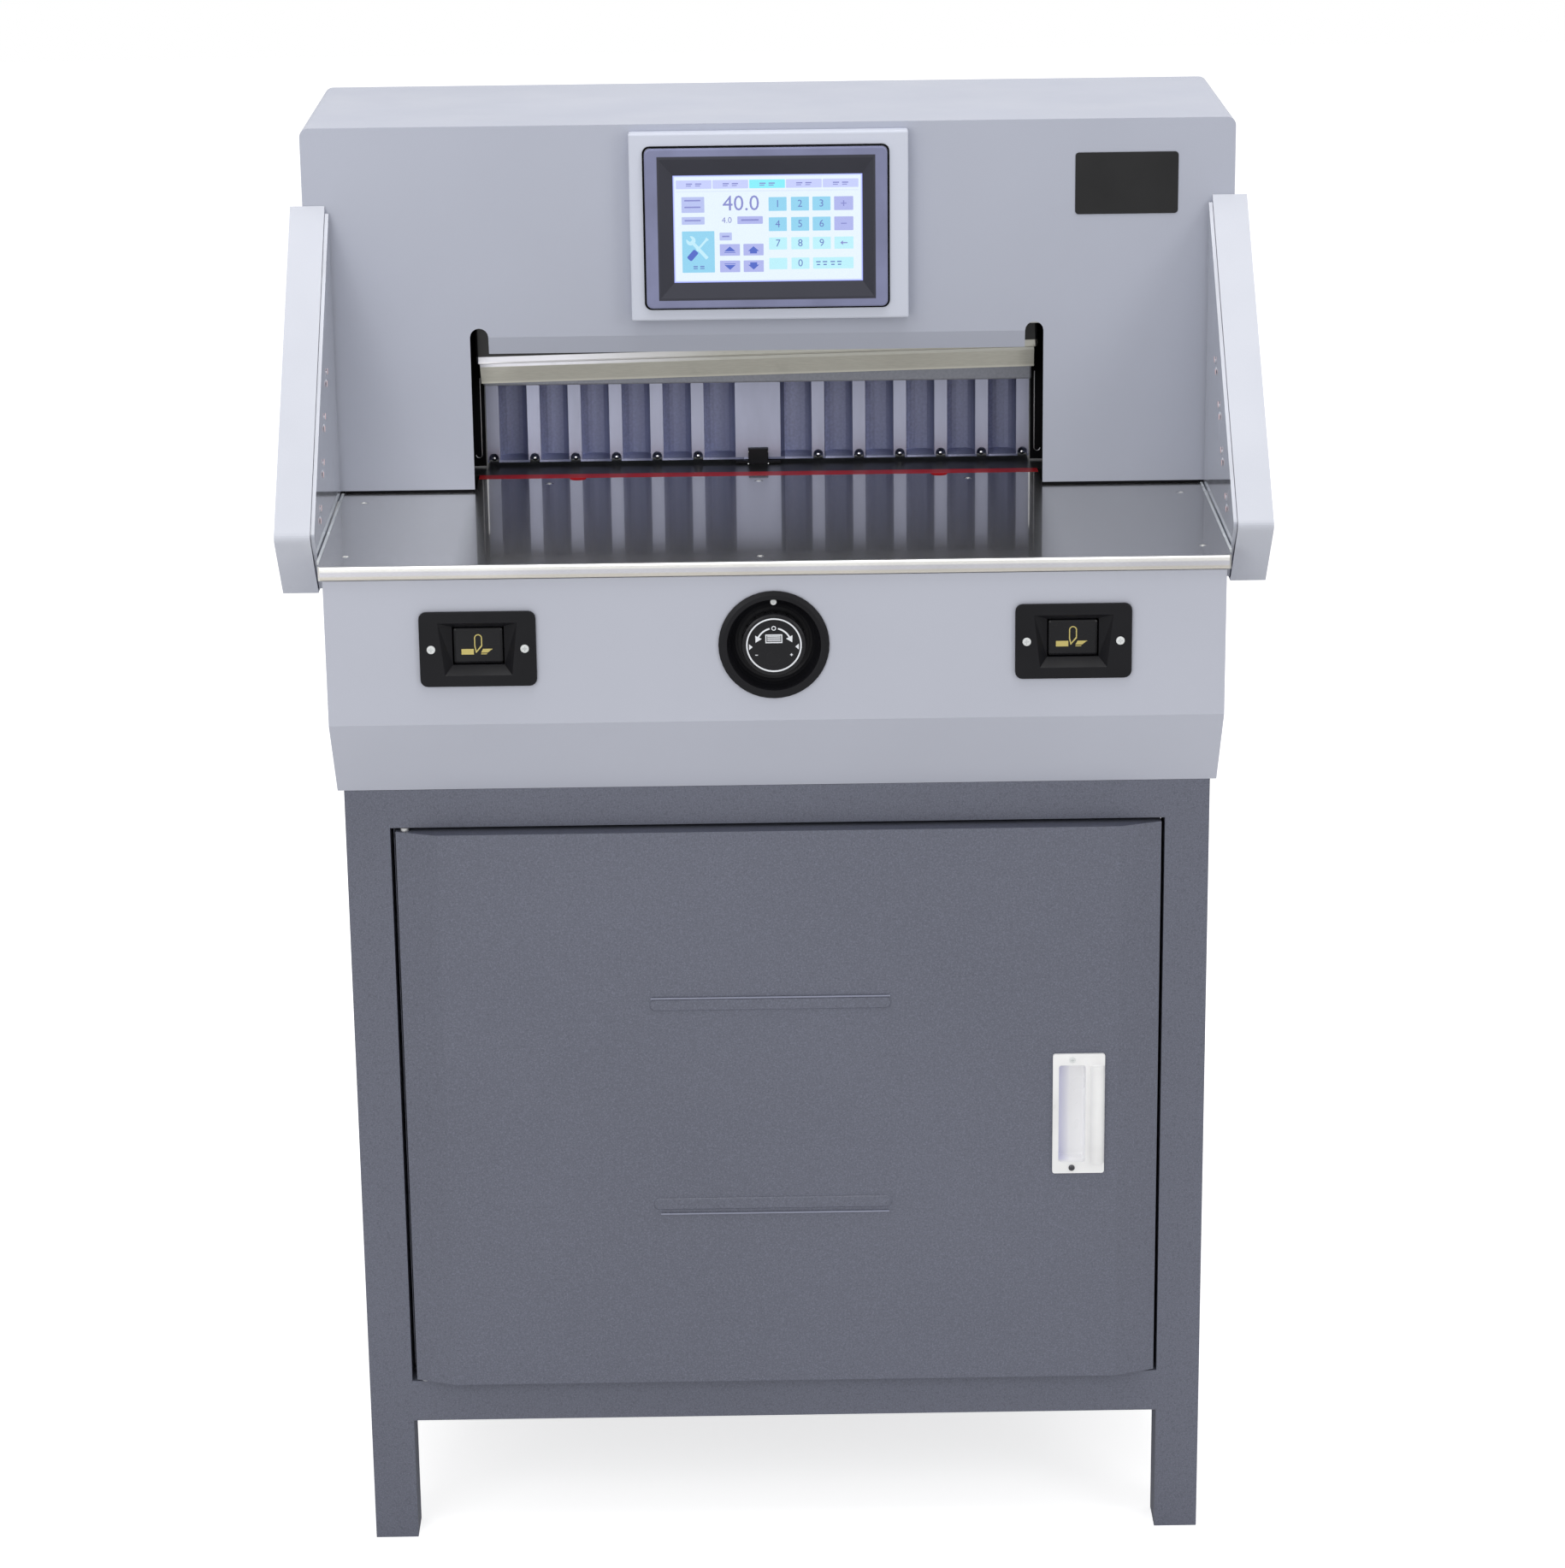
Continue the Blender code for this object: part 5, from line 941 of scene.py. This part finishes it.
# the tool sign on the big tile: a spanner and a screwdriver, crossed
across, down, wide, tall = words["iconTile"]
addTile("keyCyan", across, down, wide, tall)
centre = (across + wide / 2, down + tall / 2 - words["iconDrop"])


def leaning(outline, degrees):
    lean = Matrix.Rotation(math.radians(degrees), 2)
    return [tuple(lean @ Vector(point)) for point in outline]


spanner = [(-1.4, -11.0), (1.4, -11.0), (1.4, 6.0)] + arcPoints(3.9, -60, 62, 8, (0, 9.2)) \
    + [(1.3, 9.0), (-1.3, 9.0)] + arcPoints(3.9, 118, 240, 8, (0, 9.2)) + [(-1.4, 6.0)]
addShape("iconPale", [leaning(spanner, words["iconLean"])], *centre)
shaft = [(-0.9, -2.0), (0.9, -2.0), (0.9, 9.0), (1.5, 11.5), (-1.5, 11.5), (-0.9, 9.0)]
grip = roundedBox(-2.5, -12.0, 2.5, -2.5, 1.2, 4)
addShape("iconPale", [leaning(shaft, -words["iconLean"])], *centre, 2)
addShape("iconBlue", [leaning(grip, -words["iconLean"])], *centre, 2)
for shift in words["iconShifts"]:
    for rise, dashWide, dashTall in words["iconDashes"]:
        addDash("digitBlue", across + wide / 2 + shift, down + tall - rise, dashWide, dashTall)
for lookName, meshes in tiles.items():
    pieceName = "screen" + lookName[0].upper() + lookName[1:]
    addPiece(pieceName, together(meshes), lookName, "machine")


# black gasket line around the screen surround, which also stands in for the shadow in the gap round it, a
# painted shadow
gasket = {"width": 1.6, "corner": 4.5, "thickness": 0.8, "clear": 0.15}
bezelLow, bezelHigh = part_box("screen_bezel")
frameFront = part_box("screen_frame")[0][1]
clear, wide = gasket["clear"], gasket["width"]
left, bottom = bezelLow[0] / mm - clear, bezelLow[2] / mm - clear
right, top = bezelHigh[0] / mm + clear, bezelHigh[2] / mm + clear
outlines = [roundedBox(left - wide, bottom - wide, right + wide, top + wide, gasket["corner"] + wide),
            roundedBox(left, bottom, right, top, gasket["corner"])]
addPiece("screenGasket", flatShape(outlines, (0, frameFront, 0), gasket["thickness"]),
         "foamBlack", "machine")
print("screen picture and gasket on")


# the bare plate beside the screen
sidePlate = {"left": 255.7, "right": 341.6, "bottom": 1112.3, "top": 1164.0, "thickness": 0.8, "corner": 3.0,
             "edgeRound": 0.2}
words = sidePlate
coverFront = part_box("front_cover")[0][1]
outline = roundedBox(words["left"], words["bottom"], words["right"], words["top"], words["corner"], 6)
plate = flatShape([outline], (0, coverFront, 0), words["thickness"], words["edgeRound"])
addPiece("sidePlate", plate, "plateFilm", "machine")


# light-barrier lenses on the inner face of each guard window
lensPairs = {
    "radius": 2.6, "rise": 0.4, "shift": 6.2, "slope": (-0.7225, -0.6914),
    "places": ((-252.8, 998.7), (-286.5, 968.4), (-312.5, 936.0), (-349.9, 906.4)),
}
words = lensPairs
for side, sign in (("left", -1), ("right", 1)):
    paneLow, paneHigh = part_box("guard_window_" + side)
    inner = paneHigh[0] if sign < 0 else paneLow[0]
    lenses = []
    for deep, up in words["places"]:
        for shift in (-words["shift"], words["shift"]):
            place = (inner, (deep + shift * words["slope"][0]) * mm, (up + shift * words["slope"][1]) * mm)
            rings = ((0, words["radius"]), (words["rise"] * 0.6, words["radius"]),
                     (words["rise"], words["radius"] * 0.8))
            lenses.append(ringStack(rings, place, (-sign, 0, 0), 16))
    addPiece(side + "WindowLenses", together(lenses), "lensGlass", "machine")


# handle screws: a white one above the finger cup and a dark one below it
handleScrews = {"radius": 2.6, "height": 1.2, "inset": 5.0, "shift": -5.5, "flangeDrop": 5.5,
                "crossLength": 1.4, "crossHalf": 0.35, "crossDepth": 0.7}
words = handleScrews
handleLow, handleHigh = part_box("door_handle")
across = (handleLow[0] + handleHigh[0]) / 2 + words["shift"] * mm
flange = handleLow[1] + words["flangeDrop"] * mm
for name, level, look in (("Upper", handleHigh[2] - words["inset"] * mm, "whiteScrew"),
                          ("Lower", handleLow[2] + words["inset"] * mm, "darkScrewSteel")):
    mesh = screwHead(words["radius"], words["height"], crossSocket(words["crossLength"], words["crossHalf"]),
                     words["crossDepth"], (across, flange, level), (0, -1, 0))
    addPiece("handleScrew" + name, mesh, look, "door")
print("plate, lenses and handle screws on")


# black foam seals close the slit between the cover and the table, and pale strips the one beside each window
seals = {"foamInset": 0.2, "foamDepth": 4.2, "foamRound": 0.4, "slitClear": 0.1, "tableEnd": 1.2,
         "throatEnd": 0.6, "cornerClear": 0.3, "cornerWide": 12.0, "cornerTall": 9.0, "cornerDeep": 16.0,
         "stripClear": 0.15, "stripDrop": 3.0, "stripRise": 0.5, "stripFront": 1.5, "stripBack": 0.3,
         "stripRound": 0.35}
words = seals
tableLow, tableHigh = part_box("front_table")
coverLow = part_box("front_cover")[0]
throatLow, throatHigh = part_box("cutting_stick")


def bar(low, high, roundness=0.0):
    made = bmesh.new()
    bmesh.ops.create_cube(made, size=1)
    for corner in made.verts:
        corner.co = Vector([high[axis] if corner.co[axis] > 0 else low[axis] for axis in range(3)])
    if roundness:
        bmesh.ops.bevel(made, geom=made.edges[:], offset=roundness * mm, segments=2, profile=0.5,
                        affect="EDGES", clamp_overlap=True)
    return meshFrom(made, "bar")


foamFront = coverLow[1] + words["foamInset"] * mm
foamTop = coverLow[2] - words["slitClear"] * mm
tableEnd, throatEnd = words["tableEnd"] * mm, words["throatEnd"] * mm
for name, start, end in (("foamSealLeft", tableLow[0] + tableEnd, throatLow[0] - throatEnd),
                         ("foamSealRight", throatHigh[0] + throatEnd, tableHigh[0] - tableEnd)):
    seal = bar((start, foamFront, tableHigh[2] + words["slitClear"] * mm),
               (end, foamFront + words["foamDepth"] * mm, foamTop), words["foamRound"])
    addPiece(name, seal, "foamBlack", "machine")
for side, sign in (("left", -1), ("right", 1)):
    start, end = sorted((sign * (tableHigh[0] + words["cornerClear"] * mm),
                         sign * (tableHigh[0] + words["cornerWide"] * mm)))
    corner = bar((start, foamFront, coverLow[2] - words["cornerTall"] * mm),
                 (end, foamFront + words["cornerDeep"] * mm, foamTop), words["foamRound"])
    addPiece(side + "CornerFoam", corner, "foamBlack", "machine")
    paneLow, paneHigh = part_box("guard_window_" + side)
    inner = paneHigh[0] if sign < 0 else paneLow[0]
    clear = sign * words["stripClear"] * mm
    start, end = sorted((inner - clear, sign * tableHigh[0] + clear))
    strip = bar((start, paneLow[1] + words["stripFront"] * mm, tableHigh[2] - words["stripDrop"] * mm),
                (end, coverLow[1] - words["stripBack"] * mm, tableHigh[2] + words["stripRise"] * mm),
                words["stripRound"])
    addPiece(side + "WindowStrip", strip, "clearEdge", "machine")


# black shields with a dull wire close the throat's ends beside the back gauge
shields = {"thickness": 1.3, "back": -78.7, "foot": 882.0, "top": 1004.0, "edge": 4.3, "wireRadius": 0.4,
           "wireFoot": 892.0, "wireTop": 960.0, "wireInset": 3.6, "hookRadius": 2.6, "hookSteps": 8,
           "wallGap": 0.2, "round": 0.3}
words = shields
for side, sign, node in (("left", -1, "side_frame_left"), ("right", 1, "side_frame_right")):
    frameLow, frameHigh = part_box(node)
    wall = (frameHigh[0] if sign < 0 else frameLow[0]) - sign * words["wallGap"] * mm
    lip = (throatLow[0] if sign < 0 else throatHigh[0]) - sign * words["edge"] * mm
    start, end = sorted((wall, lip))
    shield = bar((start, (words["back"] - words["thickness"]) * mm, words["foot"] * mm),
                 (end, words["back"] * mm, words["top"] * mm), words["round"])
    addPiece(side + "ThroatShield", shield, "mattBlack", "machine")
    wire = bpy.data.curves.new("wire", "CURVE")
    wire.dimensions = "3D"
    wire.bevel_depth = words["wireRadius"] * mm
    wire.bevel_resolution = 2
    wire.use_fill_caps = True
    spline = wire.splines.new("POLY")
    across = lip + sign * words["wireInset"] * mm
    points = [(across, words["wireTop"]), (across, words["wireFoot"])]
    hook = words["hookRadius"]
    for step in range(1, words["hookSteps"] + 1):
        angle = math.pi * step / words["hookSteps"]
        points.append((across + sign * (hook - hook * math.cos(angle)) * mm,
                       words["wireFoot"] - hook * math.sin(angle)))
    spline.points.add(len(points) - 1)
    depth = (words["back"] - words["thickness"] - words["wireRadius"] * 0.6) * mm
    for point, (x, z) in zip(spline.points, points):
        point.co = (x, depth, z * mm, 1)
    addPiece(side + "ThroatWire", meshOf(wire), "dullWire", "machine")


# rubber strips that close the slits between the cabinet shell and the stand's tubes
slits = {"wide": 3.0, "deep": 1.6, "gap": 0.1, "tubeGap": 0.25, "foot": 2.0, "topDrop": 33.5, "wall": 1.5,
         "lip": 0.25, "round": 0.4, "innerRound": 0.3}
shellLow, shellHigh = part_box("cabinet_shell")
wide, deep, gap = slits["wide"] * mm, slits["deep"] * mm, slits["gap"] * mm
outer = slits["tubeGap"] * mm
foot, top = shellLow[2] - slits["foot"] * mm, shellHigh[2] - slits["topDrop"] * mm
strips = []
for sign in (-1, 1):
    edge = shellHigh[0] + outer if sign > 0 else shellLow[0] - outer
    start, end = sorted((edge - sign * wide, edge))
    strips.append(bar((start, shellHigh[1] + gap, foot), (end, shellHigh[1] + gap + deep, top),
                      slits["round"]))
    strips.append(bar((start, shellLow[1], foot), (end, shellHigh[1], shellLow[2] - gap), slits["round"]))
    inner = sign * (shellHigh[0] - slits["wall"] * mm - gap / 2)
    start, end = sorted((inner - sign * deep, inner))
    strips.append(bar((start, shellLow[1] - slits["lip"] * mm, shellLow[2] + deep),
                      (end, shellLow[1] + wide, top), slits["innerRound"]))
for back in (shellLow[1], shellHigh[1] - wide):
    strips.append(bar((shellLow[0] + wide, back, foot),
                      (shellHigh[0] - wide, back + wide, shellLow[2] - gap), slits["round"]))
addPiece("cabinetStrips", together(strips), "foamBlack", "machine")
print("seals, shields and strips on")


# polished balls in the arches of the back gauge
gaugeBalls = {"radius": 2.5, "first": 52.4, "pitch": 35.6, "count": 6, "middle": -11.5, "deep": -70.0,
              "rise": 2.45}
words = gaugeBalls
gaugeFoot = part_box("back_gauge")[0][2]
balls = []
for step in range(words["count"]):
    for sign in (-1, 1):
        made = bmesh.new()
        bmesh.ops.create_uvsphere(made, u_segments=18, v_segments=12, radius=words["radius"] * mm)
        mesh = meshFrom(made, "ball")
        across = words["middle"] + sign * (words["first"] + step * words["pitch"])
        mesh.transform(Matrix.Translation((across * mm, words["deep"] * mm, gaugeFoot + words["rise"] * mm)))
        balls.append(mesh)
addPiece("gaugeBalls", together(balls), "polishedSteel", "gauge")


# the upper edges of the door's two pressed beads, in a paler paint that is a painted highlight
doorBeads = {"lines": ((-107.6, 91.6, 498.3), (-102.6, 90.2, 304.9)), "rise": 0.9, "proudShare": 0.35,
             "tall": 1.3, "sunk": 0.8, "round": 0.35}
words = doorBeads
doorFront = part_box("cabinet_door")[0][1]
proud, sunk = doorFront - words["rise"] * words["proudShare"] * mm, doorFront + words["sunk"] * mm
half = words["tall"] / 2
beads = [bar((left * mm, proud, (level - half) * mm), (right * mm, sunk, (level + half) * mm), words["round"])
         for left, right, level in words["lines"]]
addPiece("doorBeadEdges", together(beads), "beadHighlightPaint", "door")
print("balls and bead edges on")


# cover screws on the sides and the back, and louvres in the cabinet's back
backDetails = {
    "radius": 4.2, "height": 1.9, "crossLength": 2.0, "crossHalf": 0.45, "crossDepth": 0.9, "domed": 0.8,
    "hoodSides": ((-150, 905), (-150, 1168), (42, 905), (42, 1168)),
    "hoodBack": ((-370, 905), (-370, 1172), (-125, 1172), (125, 1172), (370, 1172), (370, 905)),
    "bodySides": ((-340, 705), (-340, 850), (-140, 705), (-140, 850), (58, 705), (58, 850)),
    "bodyBack": ((-342, 700), (-342, 852), (342, 700), (342, 852)),
    "panelBack": ((-302, 165), (-302, 415), (-302, 662), (0, 662), (302, 662), (302, 415), (302, 165),
                  (0, 165)),
    "louvreWidth": 96.0, "louvreHeight": 9.0, "louvreRise": 4.6, "louvrePitch": 22.0, "louvreCount": 7,
    "louvreColumns": (-150.0, 150.0), "louvreFoot": 430.0,
}
words = backDetails
hoodLow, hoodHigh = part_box("hood")
bodyLow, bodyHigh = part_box("lower_cover")
heads = []


def coverScrew(place, way):
    socket = crossSocket(words["crossLength"], words["crossHalf"])
    heads.append(screwHead(words["radius"], words["height"], socket, words["crossDepth"], place, way,
                           words["domed"]))


for sign, hoodSide, bodySide in ((-1, hoodLow[0], bodyLow[0]), (1, hoodHigh[0], bodyHigh[0])):
    for deep, up in words["hoodSides"]:
        coverScrew((hoodSide, deep * mm, up * mm), (sign, 0, 0))
    for deep, up in words["bodySides"]:
        coverScrew((bodySide, deep * mm, up * mm), (sign, 0, 0))
for key, face in (("hoodBack", hoodHigh[1]), ("bodyBack", bodyHigh[1]), ("panelBack", shellHigh[1])):
    for sideways, up in words[key]:
        coverScrew((sideways * mm, face, up * mm), (0, 1, 0))
addPiece("coverScrews", together(heads), "zincScrew", "machine")
louvres = []
half, rise = words["louvreHeight"] / 2, words["louvreRise"]
profile = [(0, half), (rise * 0.35, half * 0.72), (rise * 0.8, half * 0.1), (rise, -half * 0.6),
           (rise, -half * 0.86), (rise * 0.72, -half * 0.86), (rise * 0.55, -half * 0.3), (0, -half * 0.1)]
for column in words["louvreColumns"]:
    for step in range(words["louvreCount"]):
        made = bmesh.new()
        level = words["louvreFoot"] + step * words["louvrePitch"]
        ends = []
        for place, share in ((-0.5, 0.0), (-0.46, 0.8), (-0.40, 1.0), (0.40, 1.0), (0.46, 0.8), (0.5, 0.0)):
            x = (column + place * words["louvreWidth"]) * mm
            ends.append([made.verts.new((x, shellHigh[1] + max(out * share, 0.05) * mm, (level + up) * mm))
                         for out, up in profile])
        for before, after in zip(ends, ends[1:]):
            for corner in range(len(profile)):
                following = (corner + 1) % len(profile)
                made.faces.new((before[corner], before[following], after[following], after[corner]))
        made.faces.new(ends[0][::-1])
        made.faces.new(ends[-1])
        bmesh.ops.recalc_face_normals(made, faces=made.faces)
        louvres.append(meshFrom(made, "louvre"))
addPiece("backLouvres", together(louvres), "standPaint", "machine", 25)


# the pins of the mains inlet
mainsPins = {"places": ((-7.0, -1.2), (0.0, 1.8), (7.0, -1.2)), "halfWide": 1.0, "halfTall": 2.2, "root": 19,
             "tip": 5, "round": 0.4}
inletLow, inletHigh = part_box("power_inlet")
middle, level = (inletLow[0] + inletHigh[0]) / 2, (inletLow[2] + inletHigh[2]) / 2
halfWide, halfTall = mainsPins["halfWide"], mainsPins["halfTall"]
root, tip = inletHigh[1] - mainsPins["root"] * mm, inletHigh[1] - mainsPins["tip"] * mm
pins = [bar((middle + (shift - halfWide) * mm, root, level + (up - halfTall) * mm),
            (middle + (shift + halfWide) * mm, tip, level + (up + halfTall) * mm), mainsPins["round"])
        for shift, up in mainsPins["places"]]
addPiece("inletPins", together(pins), "polishedSteel", "machine")


# service hatch on the hood's back
hatch = {"left": -305.0, "right": 305.0, "bottom": 995.0, "top": 1160.0, "corner": 9.0, "thickness": 1.4,
         "edgeRound": 0.35, "screwInset": 13.0}
outline = roundedBox(hatch["left"], hatch["bottom"], hatch["right"], hatch["top"], hatch["corner"], 6)
plate = flatShape([outline], (0, 0, 0), hatch["thickness"], hatch["edgeRound"])
plate.transform(Matrix.Translation((0, hoodHigh[1] + hatch["thickness"] * mm, 0)))
addPiece("rearHatch", plate, "housingPaint", "machine")
heads = []
for sideways in (hatch["left"] + hatch["screwInset"], 0, hatch["right"] - hatch["screwInset"]):
    for up in (hatch["bottom"] + hatch["screwInset"], hatch["top"] - hatch["screwInset"]):
        coverScrew((sideways * mm, hoodHigh[1] + hatch["thickness"] * mm, up * mm), (0, 1, 0))
addPiece("hatchScrews", together(heads), "zincScrew", "machine")
print("screws, louvres, hatch and inlet pins on")
